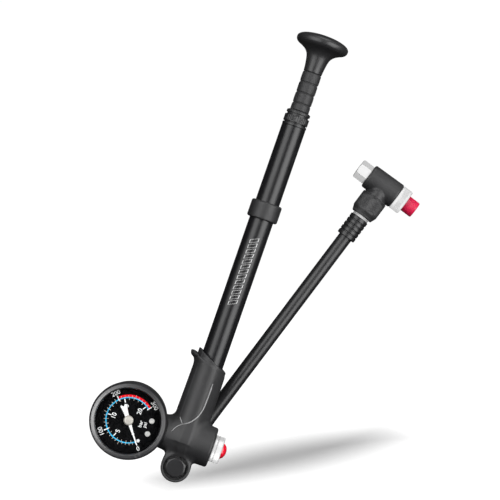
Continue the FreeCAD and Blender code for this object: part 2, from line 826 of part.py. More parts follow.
def make_movement():
    """The arbor with its pinion, the pointer and hub on it, and the sector gear."""
    module = number("gear_module")
    gauge_x = number("gauge_x")
    start, end = number("gear_front"), number("gear_rear")
    pinion_pitch = module * number("pinion_teeth") / 2
    sector_pitch = module * number("sector_teeth") / 2
    mesh_angle = 45  # from the sector's shaft to the arbor, above +X

    # Pinion: a space, not a tooth, points at the sector's shaft.
    teeth = int(number("pinion_teeth"))
    corners = toothed(teeth, pinion_pitch + 0.12, pinion_pitch - 0.2, 0.1, 0.17)
    pinion = gear_solid(corners, start, end)
    half_tooth = 180 / teeth
    pinion.rotate(Vector(), Vector(0, -1, 0), 180 + mesh_angle + half_tooth)
    shank = disc(number("arbor_radius"), -9.0, number("frame_rear") + 0.3)
    arbor = doc.addObject("Part::Feature", "pinion_arbor")
    arbor.Shape = pinion.fuse(shank).removeSplitter()
    keep(arbor).Placement = Placement(Vector(gauge_x, 0, 0), Rotation())

    # Sector: teeth for the pointer's whole sweep and a few more at each end.
    distance = pinion_pitch + sector_pitch
    teeth = int(number("sector_teeth"))
    corners = toothed(teeth, sector_pitch + 0.14, sector_pitch - 0.24, 0.09, 0.17)
    wheel = gear_solid(corners, start + 0.2, end - 0.2)
    wheel.rotate(Vector(), Vector(0, -1, 0), mesh_angle)
    first, last = mesh_angle - 31, mesh_angle + 5.2
    sector = wheel.common(wedge(first, last, start, end))
    window = disc(sector_pitch - 2.2, start, end).cut(disc(3.4, start, end))
    lightening = window.common(wedge(first + 9, last - 9, start, end))
    eye = disc(1.9, start + 0.2, end - 0.2)
    axle = disc(0.8, number("frame_front"), number("frame_rear"))
    node = doc.addObject("Part::Feature", "sector_gear")
    node.Shape = sector.cut(lightening).fuse([eye, axle]).removeSplitter()
    offset = distance * math.cos(math.radians(mesh_angle))
    keep(node).Placement = Placement(Vector(gauge_x - offset, 0, -offset), Rotation())

    # The pointer is drawn along +X, then turned down to its rest on the stop pin's side.
    length, tail = number("pointer_length"), number("pointer_tail")
    outline = [
        (-tail, 1.75), (-tail - 0.6, 0.9), (-tail, 0.0), (-tail - 0.6, -0.9), (-tail, -1.75),
        (-2.0, -0.95), (9.3, -0.5), (9.7, -0.75), (length - 0.9, -0.45), (length, 0.0),
        (length - 0.9, 0.45), (9.7, 0.75), (9.3, 0.5), (-2.0, 0.95),
    ]
    front = number("dial_front") - 1.3
    face = Part.Face(Part.makePolygon([Vector(x, front, z) for x, z in outline + outline[:1]]))
    blade = face.extrude(Vector(0, 0.4, 0))
    pointer = doc.addObject("Part::Feature", "gauge_pointer")
    pointer.Shape = blade.cut(disc(number("arbor_radius") + 0.02, front - 1, front + 3))
    rest = Rotation(Vector(0, 1, 0), number("pointer_rest_angle"))
    keep(pointer).Placement = Placement(Vector(gauge_x, 0, 0), rest)
    keep(
        turned(
            "pointer_hub",
            [
                ("arbor_radius + 0.02", 0),
                ("hub_radius", 0),
                ("hub_radius", -0.7),
                ("hub_radius - 0.6", -1.3),
                (0, -1.3),
                (0, -0.32),
                ("arbor_radius + 0.02", -0.32),
            ],
            "Y",
            ("gauge_x", "dial_front - 1.32", 0),
        )
    )


# ---------------------------------------------------------------- bleed valve


def make_bleed_valve():
    """The release valve: a sleeve, a domed button on a stem, a seal washer and a spring."""
    keep(
        turned(
            "bleed_sleeve",
            [
                ("bleed_stem_radius + running_gap", "sleeve_spigot_left"),
                ("sleeve_spigot_radius", "sleeve_spigot_left"),
                ("sleeve_spigot_radius", "cross_right"),
                ("sleeve_radius - 0.2", "cross_right"),
                ("sleeve_radius", "cross_right + 0.4"),
                ("sleeve_radius", "sleeve_right - 0.7"),
                ("sleeve_radius - 0.7", "sleeve_right"),
                ("button_radius + running_gap", "sleeve_right"),
                ("button_radius + running_gap", "bleed_recess_floor"),
                ("bleed_stem_radius + running_gap", "bleed_recess_floor"),
            ],
            "X",
        )
    )
    dome_height = number("button_tip") - number("button_shoulder")
    radius = number("button_radius")
    ball = (radius**2 + dome_height**2) / (2 * dome_height)
    sphere = doc.addObject("Part::Sphere", "button_ball")
    sphere.Radius = ball
    sphere.Placement = Placement(Vector(number("button_tip") - ball, 0, 0), Rotation())
    side = cylinder("button_dome_side", "button_radius", "button_shoulder - 1", 40, "X")
    dome = doc.addObject("Part::Common", "button_dome")
    dome.Base, dome.Tool = sphere, side
    foot = "button_shoulder - 2.6"
    skirt = cylinder("button_skirt", "button_radius", foot, "button_shoulder", "X")
    hole = cylinder(
        "button_stem_hole", "bleed_stem_radius + 0.02", 10, "button_shoulder - 0.6", "X"
    )
    keep(cut("bleed_button", fuse("button_solid", dome, skirt), hole))
    keep(
        turned(
            "bleed_stem",
            [
                (0, "bleed_stem_left"),
                ("bleed_stem_head_radius", "bleed_stem_left"),
                ("bleed_stem_head_radius", "bleed_stem_head_right"),
                ("bleed_stem_radius", "bleed_stem_head_right"),
                ("bleed_stem_radius", "button_shoulder - 0.62"),
                (0, "button_shoulder - 0.62"),
            ],
            "X",
        )
    )
    keep(
        tube(
            "bleed_seal", 2.6, "bleed_stem_radius + 0.02",
            "bleed_stem_head_right + 0.02", "sleeve_spigot_left - 0.02", "X",
        )
    )
    length = number(f"{foot} - bleed_recess_floor") - 0.04
    at = (number("bleed_recess_floor") + 0.02, 0, 0)
    coil, wire = SIZES["bleed_spring_radius"], SIZES["bleed_spring_wire"]
    keep(spring("bleed_spring", coil, wire, length, 3.5, at, "X"))


# ---------------------------------------------------------------- hose swivel


def make_swivel_bolt():
    """The hollow bolt through the boss, its two seals, the thrust washer and the clip."""
    drop = "-swivel_drop"
    across = (0, drop)
    head = hexagon("bolt_head", "hex_flats", "hex_front", "boss_recess_floor", "Y", across)
    shank = cylinder(
        "bolt_shank", "bolt_radius", "boss_recess_floor - 0.5", "bolt_rear", "Y", across
    )
    cuts = [
        cylinder("bolt_passage", 1.2, -1.2, "hose_y + 1.2", "Y", across),
        cylinder("bolt_inlet", 1.0, drop, 0, "Z"),
        cylinder("bolt_outlet", 0.9, f"{drop} - 8", f"{drop} + 8", "Z", (0, "hose_y")),
        cylinder("bolt_cross_outlet", 0.7, -8, 8, "X", ("hose_y", drop)),
    ]
    seal_places = ("banjo_front + 2.2", "banjo_rear - 2.2")
    for index, middle in enumerate(seal_places):
        low, high = f"{middle} - 0.6", f"{middle} + 0.6"
        blank = cylinder(f"groove_blank_{index}", 6, low, high, "Y", across)
        inner = cylinder(f"groove_floor_{index}", 3.0, -20, 40, "Y", across)
        cuts.append(cut(f"seal_groove_{index}", blank, inner))
    blank = cylinder("clip_groove_blank", 6, "banjo_rear + 0.1", "banjo_rear + 1", "Y", across)
    inner = cylinder("clip_groove_floor", "clip_groove_radius", -20, 40, "Y", across)
    cuts.append(cut("clip_groove", blank, inner))
    keep(cut("swivel_bolt", fuse("bolt_solid", head, shank), *cuts))

    seals = [
        ring(f"swivel_seal_{index}", 3.5, 0.94, (0, middle, drop), "Y")
        for index, middle in enumerate(seal_places)
    ]
    keep(fuse("swivel_seals", *seals))
    inner = "bolt_radius + 0.05"
    keep(tube("thrust_washer", 7.6, inner, "boss_rear", "banjo_front - 0.05", "Y", across))
    clip = cylinder("clip_disc", 6, "banjo_rear + 0.12", "banjo_rear + 0.95", "Y", across)
    eye = cylinder("clip_eye", "clip_groove_radius + 0.03", -20, 40, "Y", across)
    gap = block("clip_gap", (-2.6, 20, f"{drop} - 10"), (2.6, 30, drop))
    keep(cut("retaining_clip", clip, eye, gap))


# The hose's route: out of the swivel, one slight bend behind the housing, then straight.
HOSE_ROUTE = [
    (3.718, 17.5, -6.127),
    (8.97, 17.5, 11.92),
    (59.74, 17.5, 169.78),
]


def frame_at(point, toward):
    """The placement whose Z axis runs from one point towards another, both at the hose's depth."""
    start, end = Vector(*point), Vector(*toward)
    angle = math.degrees(math.atan2(end.x - start.x, end.z - start.z))
    return Placement(start, Rotation(Vector(0, 1, 0), angle))


def make_swivel_arm():
    """The banjo fitting that turns on the bolt, and the ferrule that holds the hose to it."""
    pivot = (0, number("hose_y"), -number("swivel_drop"))
    frame = frame_at(pivot, HOSE_ROUTE[0])
    start = (Vector(*HOSE_ROUTE[0]) - Vector(*pivot)).Length
    half = "(banjo_rear - banjo_front) / 2"
    eye = cylinder("banjo_eye", "banjo_radius", f"-({half})", half, "Y")
    arm = cylinder("banjo_arm", "hose_radius - 0.1", 0, start - 0.1)
    nipple = cylinder("banjo_nipple", "hose_bore - 0.05", 0, start + 10)
    bore = cylinder("banjo_bore_cut", "banjo_bore", -20, 20, "Y")
    way = cylinder("banjo_passage", 0.8, 2, 40)
    banjo = keep(cut("swivel_banjo", fuse("banjo_solid", eye, arm, nipple), bore, way))
    banjo.Placement = frame
    ferrule = keep(unbound(make_ferrule("base_ferrule")))
    ferrule.Placement = frame.multiply(Placement(Vector(0, 0, start), Rotation()))


def make_ferrule(label):
    """A ribbed crimp sleeve: it covers the hose's end, which is at height 0, and its mouth is up."""
    outer, mouth = "ferrule_radius", "ferrule_grip"
    back = "ferrule_grip - ferrule_length"
    outline = [
        ("hose_radius + 0.03", mouth),
        ("hose_radius + 0.03", -0.03),
        ("hose_radius - 0.07", -0.03),
        ("hose_radius - 0.07", back),
        (outer, back),
    ]
    pitch = "(ferrule_length / 5)"
    for step in range(1, 5):
        middle = f"{back} + {step} * {pitch}"
        outline += [
            (outer, f"{middle} - 0.6"),
            (f"{outer} - ferrule_groove_depth", f"{middle} - 0.25"),
            (f"{outer} - ferrule_groove_depth", f"{middle} + 0.25"),
            (outer, f"{middle} + 0.6"),
        ]
    outline.append((outer, mouth))
    return turned(label, outline)


def make_hose():
    """The hose: its section swept along straight runs joined by an arc at each corner."""
    points = [Vector(*p) for p in HOSE_ROUTE]
    edges, start = [], points[0]
    for before, corner, after in zip(points, points[1:], points[2:]):
        into, out = corner - before, after - corner
        shorter = min(into.Length, out.Length)
        half_turn = into.getAngle(out) / 2
        reach = 0.45 * shorter
        radius = reach / math.tan(half_turn)
        into.normalize()
        out.normalize()
        first, last = corner - into * reach, corner + out * reach
        inward = (out - into).normalize()
        middle = corner + inward * (radius / math.cos(half_turn) - radius)
        edges.append(Part.LineSegment(start, first).toShape())
        edges.append(Part.Arc(first, middle, last).toShape())
        start = last
        print(f"hose bend radius {radius:.1f} mm at height {corner.z:.1f} mm")
    edges.append(Part.LineSegment(start, points[-1]).toShape())
    path = Part.Wire(edges)
    along_first = points[1] - points[0]
    outer, inner = number("hose_radius"), number("hose_bore")
    solids = []
    for radius in (outer, inner):
        section = Part.Wire([Part.makeCircle(radius, points[0], along_first)])
        solids.append(path.makePipeShell([section], True, False))
    hose = doc.addObject("Part::Feature", "hose")
    hose.Shape = solids[0].cut(solids[1])
    share = hose.Shape.Volume / (math.pi * (outer**2 - inner**2) * path.Length)
    print(f"hose length {path.Length:.1f} mm, volume / (section x length) {share:.4f}")
    if abs(share - 1) > 0.01:
        raise SystemExit("the hose's volume is not its section times its length")
    keep(hose)


# ---------------------------------------------------------------- chuck


def make_chuck():
    """The elbow chuck, built in its own frame: Z along the hose from its end, X to the knob."""
    before, end = Vector(*HOSE_ROUTE[-2]), Vector(*HOSE_ROUTE[-1])
    frame = Placement(end, frame_at(before, end).Rotation)

    def place(node):
        node.Placement = frame.multiply(node.Placement)
        return keep(node)

    ferrule = unbound(make_ferrule("chuck_ferrule"))
    ferrule.Placement = Placement(Vector(), Rotation(Vector(1, 0, 0), 180))
    place(ferrule)

    axis_z = "chuck_height"
    neck_top = "chuck_height - 3"
    # The steel tail: its barbs are in the hose, its collar shows, and its head is held by the
    # coupling.
    nipple = turned(
        "hose_nipple",
        [
            (0.8, -10),
            ("hose_bore - 0.05", -10),
            ("hose_bore - 0.05", 0.05),
            ("hose_radius - 0.12", 0.05),
            ("hose_radius - 0.12", "ferrule_length - ferrule_grip + 0.02"),
            (5.9, "ferrule_length - ferrule_grip + 0.02"),
            (5.9, "sleeve_bottom + 1.5"),
            (3.4, "sleeve_bottom + 1.5"),
            (3.4, "sleeve_top - 5"),
            (4.4, "sleeve_top - 5"),
            (4.4, "sleeve_top - 1"),
            (0.8, "sleeve_top - 1"),
        ],
    )
    place(unbound(nipple))
    sleeve = turned(
        "coupling_sleeve",
        [
            (6.0, "sleeve_bottom"),
            ("coupling_mouth_radius", "sleeve_bottom"),
            ("coupling_radius", "sleeve_bottom + coupling_taper"),
            ("coupling_radius", "sleeve_top"),
            (6.05, "sleeve_top"),
            (6.05, "sleeve_top - 5.4"),
            (3.45, "sleeve_top - 5.4"),
            (3.45, "sleeve_bottom + 1.55"),
            (6.0, "sleeve_bottom + 1.55"),
        ],
    )
    place(unbound(sleeve))

    # Elbow body: a cross barrel and a short neck, whose spigot screws into the coupling.
    barrel = cylinder("chuck_barrel", "chuck_radius", "chuck_left", "chuck_right", "X", (0, axis_z))
    neck = cylinder("chuck_neck", "chuck_neck_radius", "sleeve_top + 0.05", axis_z)
    spigot = cylinder("chuck_spigot", 6.0, "sleeve_top - 5.3", neck_top)
    cuts = [
        cylinder("chuck_socket", 4.45, "sleeve_top - 6", "sleeve_top - 0.9"),
        cylinder("chuck_passage", 1.2, "sleeve_top - 2", axis_z),
        cylinder("nut_socket", "nut_spigot_radius + running_gap", -20, -5, "X", (0, axis_z)),
        cylinder("pin_bore", "pin_radius + running_gap", -6, 20, "X", (0, axis_z)),
        cylinder("pin_chamber", 2.4, -5.5, 2.6, "X", (0, axis_z)),
        cylinder("retainer_groove", 5.85, -9.65, -8.75, "X", (0, axis_z)),
        cylinder("ring_socket", 6.05, 5, 20, "X", (0, axis_z)),
    ]
    body = cut("chuck_body", fuse("chuck_solid", barrel, neck, spigot), *cuts)
    place(body)

    # The valve nut turns on its spigot in the chuck, held by a wire ring in a groove.
    left = "chuck_left"
    face = f"{left} - 0.05"
    hexa = hexagon("nut_hex", "nut_flats", f"{face} - nut_length", face, "X", (0, axis_z))
    mouth = f"{face} - nut_length"
    bevel_end = f"{mouth} + nut_bevel_length"
    bevel = cone(
        "nut_bevel", "nut_flats / 2 * 0.98", "nut_flats / 2 + 3", mouth, bevel_end,
        "X", (0, axis_z),
    )
    full = cylinder("nut_full_part", "nut_flats", bevel_end, 0, "X", (0, axis_z))
    trimmed = doc.addObject("Part::Common", "nut_trimmed")
    trimmed.Base = hexa
    trimmed.Tool = fuse("nut_envelope", bevel, full)
    spigot = cylinder("nut_spigot", "nut_spigot_radius", face, -7.2, "X", (0, axis_z))
    groove_blank = cylinder(
        "nut_groove_blank", 7, "nut_groove_left", "nut_groove_right", "X", (0, axis_z)
    )
    groove_floor = cylinder("nut_groove_core", "nut_groove_floor", -20, 0, "X", (0, axis_z))
    thread_end, pocket_end = f"{mouth} + nut_thread_depth", f"{mouth} + gasket_depth"
    nut_cuts = [
        cylinder("nut_thread", "valve_thread_radius", -40, thread_end, "X", (0, axis_z)),
        cylinder(
            "gasket_pocket", "gasket_radius + seat_gap", thread_end, pocket_end, "X", (0, axis_z)
        ),
        cylinder("nut_throat_bore", "nut_throat", -20, 0, "X", (0, axis_z)),
        cut("nut_groove", groove_blank, groove_floor),
    ]
    place(cut("valve_nut", fuse("nut_solid", trimmed, spigot), *nut_cuts))
    gasket = tube(
        "valve_gasket", "gasket_radius", "gasket_hole",
        f"{thread_end} + 0.15", f"{pocket_end} - 0.05", "X", (0, axis_z),
    )
    place(unbound(gasket))
    place(unbound(ring("nut_retainer", 5.42, 0.7, (-9.2, 0, axis_z), "X")))

    # Knob side: a plain guard ring, the red knob in it, and the pin that it drives.
    right = "chuck_right"
    guard = turned(
        "knob_ring",
        [
            ("knob_cap_radius + running_gap + 0.03", f"{right} + knob_ring_length"),
            ("knob_cap_radius + running_gap + 0.03", 8),
            (1.9, 8),
            (1.9, 5.05),
            (6.0, 5.05),
            (6.0, f"{right} + 0.03"),
            ("knob_ring_radius", f"{right} + 0.03"),
            ("knob_ring_radius", f"{right} + knob_ring_length - 0.5"),
            ("knob_ring_radius - 0.5", f"{right} + knob_ring_length"),
        ],
        "X",
        (0, 0, axis_z),
    )
    place(unbound(guard))
    knob = turned(
        "knob_cap",
        [
            (0, "knob_cap_tip"),
            ("knob_cap_radius - 0.5", "knob_cap_tip"),
            ("knob_cap_radius", "knob_cap_tip - 0.5"),
            ("knob_cap_radius", 12.2),
            (1.5, 12.2),
            (1.5, 16),
            (0, 16),
        ],
        "X",
        (0, 0, axis_z),
    )
    place(unbound(knob))
    pin = turned(
        "actuator_pin",
        [
            (0, -13.4),
            ("pin_radius - 0.2", -13.4),
            ("pin_radius - 0.2", -5),
            ("pin_radius", -5),
            ("pin_radius", 9.9),
            (1.45, 9.9),
            (1.45, 15.9),
            (0, 15.9),
        ],
        "X",
        (0, 0, axis_z),
    )
    place(unbound(pin))
    place(unbound(ring("pin_seal", 1.6, 1.08, (2, 0, axis_z), "X")))


# ---------------------------------------------------------------- build and export


def export():
    """Checks every object and writes each piece to its own file."""
    doc.recompute()
    for obj in doc.Objects:
        if "Invalid" in obj.State or "Error" in obj.State:
            raise SystemExit(f"{obj.Label} did not compute: {obj.State}")
    os.makedirs("parts", exist_ok=True)
    for node in NODES:
        shape = node.Shape
        if shape.isNull() or not shape.isValid() or not shape.Solids:
            raise SystemExit(f"{node.Label} has no valid solid")
        shape.exportStep(f"parts/{node.Label}.step")
    print(len(NODES), "pieces written")


make_housing()
make_barrel()
make_clip()
make_gland()
make_plunger()
make_handle()
make_gauge_case()
make_dial()
make_movement()
make_bleed_valve()
make_swivel_bolt()
make_swivel_arm()
make_hose()
make_chuck()
export()
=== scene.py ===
import json
import math

import bpy
import numpy as np
from mathutils import Matrix, Vector


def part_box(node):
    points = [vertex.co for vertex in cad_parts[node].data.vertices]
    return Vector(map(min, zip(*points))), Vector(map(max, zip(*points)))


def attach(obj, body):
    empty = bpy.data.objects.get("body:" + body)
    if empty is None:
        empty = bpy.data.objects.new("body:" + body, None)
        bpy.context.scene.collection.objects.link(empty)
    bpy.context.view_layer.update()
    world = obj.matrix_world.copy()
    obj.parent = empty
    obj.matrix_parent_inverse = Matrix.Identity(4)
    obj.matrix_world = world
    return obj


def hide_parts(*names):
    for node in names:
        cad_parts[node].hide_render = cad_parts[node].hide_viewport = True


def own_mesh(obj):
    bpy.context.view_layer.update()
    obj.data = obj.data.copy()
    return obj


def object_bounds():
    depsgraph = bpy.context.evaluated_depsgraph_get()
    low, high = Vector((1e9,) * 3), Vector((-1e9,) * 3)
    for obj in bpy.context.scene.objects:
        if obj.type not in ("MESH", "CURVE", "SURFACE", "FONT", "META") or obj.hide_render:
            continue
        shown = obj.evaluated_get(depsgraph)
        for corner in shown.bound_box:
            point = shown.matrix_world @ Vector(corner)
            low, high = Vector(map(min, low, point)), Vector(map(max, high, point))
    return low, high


# The looks of the mini pump. Shapes are in millimetres, and become metres as each mesh is made.
# Materials, camera, lights and floor are in metres.

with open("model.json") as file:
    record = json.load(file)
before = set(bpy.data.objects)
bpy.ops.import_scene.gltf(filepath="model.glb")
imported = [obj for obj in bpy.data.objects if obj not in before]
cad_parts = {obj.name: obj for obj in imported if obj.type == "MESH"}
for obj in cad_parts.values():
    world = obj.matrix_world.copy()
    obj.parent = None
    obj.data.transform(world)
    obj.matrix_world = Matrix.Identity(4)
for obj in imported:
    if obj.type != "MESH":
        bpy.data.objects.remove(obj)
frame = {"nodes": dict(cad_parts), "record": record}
cad_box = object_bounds()

MM = 0.001
BODY_OF = {n: b for b, members in frame["record"]["behaviour"]["bodies"].items() for n in members}
SLOT_OF = {part["node"]: part["material_slot"] for part in frame["record"]["subparts"]}
COLOUR_OF = {m["slot"]: m["base_color"] for m in frame["record"]["materials"]}
TAU = 2 * math.pi
UPRIGHT = Matrix.Identity(4)


def node_box(node):
    """The lowest and highest corner of a CAD node, in millimetres."""
    low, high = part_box(node)
    return low / MM, high / MM


# ---------------------------------------------------------------- places taken from the frame

GAUGE_LOW, GAUGE_HIGH = node_box("gauge_bezel")
GAUGE_X = (GAUGE_LOW.x + GAUGE_HIGH.x) / 2
DIAL_FRONT = node_box("gauge_dial")[0].y
BARREL_LOW, BARREL_HIGH = node_box("barrel_tube")
BARREL_RADIUS = BARREL_HIGH.x
BOLT_Z = sum(corner.z for corner in node_box("thrust_washer")) / 2

# The hose's route, repeated from the part: the swivel's end, the bend, and the chuck's end.
HOSE_ROUTE = [(3.718, 17.5, -6.127), (8.97, 17.5, 11.92), (59.74, 17.5, 169.78)]
HOSE_RADIUS = 4.7
FERRULE_MOUTH = 12.0


def axis_frame(axis, at=(0, 0, 0)):
    """The matrix that puts local Z along a named axis, from the point at."""
    turn = {
        "Z": UPRIGHT,
        "X": Matrix.Rotation(math.radians(90), 4, "Y"),
        "Y": Matrix.Rotation(math.radians(-90), 4, "X"),
    }[axis]
    return Matrix.Translation(Vector(at)) @ turn


def run_frame(start, end):
    """The matrix at a run's end with its Z axis along the run. Both points lie at the same depth."""
    a, b = Vector(start), Vector(end)
    angle = math.atan2(b.x - a.x, b.z - a.z)
    return Matrix.Translation(b) @ Matrix.Rotation(angle, 4, "Y")


CHUCK = run_frame(HOSE_ROUTE[1], HOSE_ROUTE[2])
HOSE_FOOT = run_frame((0, HOSE_ROUTE[0][1], BOLT_Z), HOSE_ROUTE[0])
CHUCK_HEIGHT = 29.6
CHUCK_ACROSS = CHUCK @ Matrix.Translation((0, 0, CHUCK_HEIGHT)) @ axis_frame("X")
GAUGE = axis_frame("Y", (GAUGE_X, 0, 0))


# ---------------------------------------------------------------- materials


class Nodes:
    """Short calls for a material's node tree."""

    def __init__(self, name):
        self.material = bpy.data.materials.new(name)
        self.material.use_nodes = True
        self.tree = self.material.node_tree
        self.tree.nodes.clear()
        self.out = self.add("ShaderNodeOutputMaterial")

    def add(self, kind, **settings):
        node = self.tree.nodes.new(kind)
        for key, value in settings.items():
            setattr(node, key, value)
        return node

    def link(self, source, target):
        self.tree.links.new(source, target)

    def value(self, socket, value):
        """Links a socket to another one, or gives it a plain value."""
        if hasattr(value, "is_output"):
            self.link(value, socket)
        else:
            socket.default_value = value

    def math(self, operation, a, b):
        node = self.add("ShaderNodeMath", operation=operation)
        self.value(node.inputs[0], a)
        self.value(node.inputs[1], b)
        return node.outputs[0]

    def place(self, stretch):
        """The piece's own coordinates in metres, scaled by stretch."""
        mapping = self.add("ShaderNodeMapping")
        mapping.inputs["Scale"].default_value = stretch
        self.link(self.add("ShaderNodeTexCoord").outputs["Object"], mapping.inputs["Vector"])
        return mapping.outputs[0]

    def noise(self, scale, detail, stretch=(1, 1, 1), roughness=0.5):
        node = self.add("ShaderNodeTexNoise")
        self.link(self.place(stretch), node.inputs["Vector"])
        node.inputs["Scale"].default_value = scale
        node.inputs["Detail"].default_value = detail
        node.inputs["Roughness"].default_value = roughness
        return node.outputs["Fac"]

    def spread(self, source, low, high, start=0.3, end=0.7):
        """Maps a source between start and end to low and high."""
        node = self.add("ShaderNodeMapRange")
        self.value(node.inputs["Value"], source)
        for key, value in (("From Min", start), ("From Max", end), ("To Min", low), ("To Max", high)):
            node.inputs[key].default_value = value
        return node.outputs[0]

    def varied(self, roughness, fine, less, more, broad):
        """A roughness that a fine pattern lowers by less and raises by more, plus a broad change."""
        return self.math("ADD", self.spread(fine, roughness - less, roughness + more), broad)

    def mix(self, factor, a, b):
        node = self.add("ShaderNodeMix", data_type="RGBA")
        self.value(node.inputs["Factor"], factor)
        for socket, colour in ((node.inputs[6], a), (node.inputs[7], b)):
            self.value(socket, colour if hasattr(colour, "is_output") else (*colour, 1))
        return node.outputs[2]

    def bump(self, height, distance_m, strength):
        node = self.add("ShaderNodeBump")
        node.inputs["Strength"].default_value = strength
        node.inputs["Distance"].default_value = distance_m
        self.link(height, node.inputs["Height"])
        return node.outputs[0]

    def worn_edges(self, low=0.52, high=0.6):
        """0 on flat faces and 1 on sharp outer edges."""
        pointiness = self.add("ShaderNodeNewGeometry").outputs["Pointiness"]
        return self.spread(pointiness, 0.0, 1.0, low, high)

    def edge_lines(self, radius):
        """1 where the surface turns sharply within the radius, whatever the mesh is like."""
        bevel = self.add("ShaderNodeBevel", samples=6)
        bevel.inputs["Radius"].default_value = radius
        facing = self.add("ShaderNodeVectorMath", operation="DOT_PRODUCT")
        self.link(bevel.outputs[0], facing.inputs[0])
        self.link(self.add("ShaderNodeNewGeometry").outputs["Normal"], facing.inputs[1])
        return self.spread(facing.outputs["Value"], 1.0, 0.0, 0.93, 0.995)

    def surface(self, **inputs):
        """The Principled shader with these inputs, as the material's surface."""
        shader = self.add("ShaderNodeBsdfPrincipled")
        for key, value in inputs.items():
            socket = shader.inputs[key.replace("_", " ").title().replace("Ior", "IOR")]
            if isinstance(value, (tuple, list)) and len(value) == 3:
                value = (*value, 1)
            self.value(socket, value)
        self.link(shader.outputs[0], self.out.inputs["Surface"])
        return self.material


def shade(colour, factor):
    return tuple(min(1.0, c * factor) for c in colour)


def moulded(name, colour, roughness, grain=1800, depth=0.00006, wear=0.6, sheen=0.0):
    """A moulded plastic or rubber: spark-eroded grain, cloudy gloss, edges polished lighter."""
    n = Nodes(name)
    clouds = n.noise(60, 4)
    fine = n.noise(grain, 3, roughness=0.65)
    base = n.mix(n.spread(clouds, 0.0, 1.0), shade(colour, 0.82), shade(colour, 1.2))
    base = n.mix(n.math("MULTIPLY", n.worn_edges(), wear), base, shade(colour, 2.6))
    return n.surface(
        base_color=base, normal=n.bump(fine, depth, 0.35), sheen_weight=sheen, sheen_roughness=0.5,
        roughness=n.varied(roughness, fine, 0.05, 0.07, n.spread(clouds, -0.05, 0.05)),
    )


def drawn_tube(name, colour, roughness):
    """A drawn and anodised tube: hair-fine lines along it."""
    n = Nodes(name)
    lines = n.noise(900, 3, stretch=(1, 1, 0.012))
    clouds = n.noise(35, 3)
    base = n.mix(n.spread(lines, 0, 1), shade(colour, 0.8), shade(colour, 1.35))
    rough = n.varied(roughness, lines, 0.03, 0.04, n.spread(clouds, -0.02, 0.03))
    return n.surface(base_color=base, roughness=rough, normal=n.bump(lines, 0.000008, 0.15))


def plated(name, colour, roughness, turned_lines=True, metallic=1.0, edge=None, depth=0.00001):
    """A turned and plated metal: fine rings from the tool, faint stains, and, if asked, painted shade:
    grey lines along its sharp edges.
    """
    n = Nodes(name)
    rings = n.noise(1500, 2, stretch=(0.12, 0.12, 1)) if turned_lines else n.noise(1200, 3)
    stains = n.noise(90, 4)
    base = n.mix(n.spread(stains, 0, 1, 0.35, 0.75), colour, shade(colour, 0.93))
    # Painted shade: the edge colour is laid as grey lines along the sharp edges.
    if edge:
        base = n.mix(n.edge_lines(0.0006), base, edge)
    rough = n.varied(roughness, rings, 0.03, 0.05, n.spread(stains, -0.02, 0.04))
    return n.surface(
        base_color=base, metallic=metallic, roughness=rough, normal=n.bump(rings, depth, 0.2)
    )


def coated_metal(name, colour, roughness):
    """A satin black coating over metal: a fine orange peel and slightly worn edges."""
    n = Nodes(name)
    peel = n.noise(900, 2)
    clouds = n.spread(n.noise(40, 3), 0, 1)
    base = n.mix(clouds, shade(colour, 0.88), shade(colour, 1.12))
    base = n.mix(n.math("MULTIPLY", n.worn_edges(0.54, 0.64), 0.22), base, (0.12, 0.12, 0.12))
    rough = n.varied(roughness, peel, 0.03, 0.03, n.spread(clouds, 0, 0.04, 0, 1))
    return n.surface(base_color=base, roughness=rough, normal=n.bump(peel, 0.000008, 0.2))


def extruded_rubber(name, colour, roughness):
    """The hose's cover: long, faint extrusion streaks and a slightly cloudy sheen."""
    n = Nodes(name)
    streaks = n.noise(260, 2, stretch=(1, 1, 0.02))
    clouds = n.noise(45, 3)
    base = n.mix(n.spread(streaks, 0, 1), shade(colour, 0.85), shade(colour, 1.15))
    rough = n.varied(roughness, streaks, 0.03, 0.03, n.spread(clouds, -0.02, 0.03))
    return n.surface(base_color=base, roughness=rough, normal=n.bump(streaks, 0.000015, 0.2))


def gloss_moulding(name, colour, roughness):
    """A gloss coloured plastic with a little depth and faint flow marks."""
    n = Nodes(name)
    flow = n.noise(140, 4, stretch=(1, 0.4, 1))
    base = n.mix(n.spread(flow, 0, 1), shade(colour, 0.86), shade(colour, 1.12))
    return n.surface(
        base_color=base, roughness=n.spread(flow, roughness - 0.03, roughness + 0.06),
        normal=n.bump(flow, 0.00003, 0.2), coat_weight=0.4, coat_roughness=0.06,
        subsurface_weight=0.05, subsurface_scale=0.001,
    )


def clear_lens(name):
    """A polished clear lens: it lets light straight through and keeps a faint sharp reflection."""
    n = Nodes(name)
    weight = n.add("ShaderNodeFresnel")
    weight.inputs["IOR"].default_value = 1.45
    smears = n.noise(70, 4)
    gloss = n.add("ShaderNodeBsdfGlossy")
    n.link(n.spread(smears, 0.01, 0.05), gloss.inputs["Roughness"])
    clear = n.add("ShaderNodeBsdfTransparent")
    clear.inputs["Color"].default_value = (0.985, 0.99, 0.99, 1)
    mixed = n.add("ShaderNodeMixShader")
    n.link(n.math("MULTIPLY", weight.outputs[0], 0.16), mixed.inputs[0])
    n.link(clear.outputs[0], mixed.inputs[1])
    n.link(gloss.outputs[0], mixed.inputs[2])
    n.link(mixed.outputs[0], n.out.inputs["Surface"])
    return n.material


def enamel(name, colour, roughness, gloss=0.5):
    """Printed or sprayed paint with a faint uneven film."""
    n = Nodes(name)
    film = n.noise(700, 3)
    base = n.mix(n.spread(film, 0, 1), shade(colour, 0.92), shade(colour, 1.08))
    return n.surface(
        base_color=base, roughness=n.spread(film, roughness - 0.06, roughness + 0.06),
        normal=n.bump(film, 0.000015, 0.25), specular_ior_level=gloss,
    )


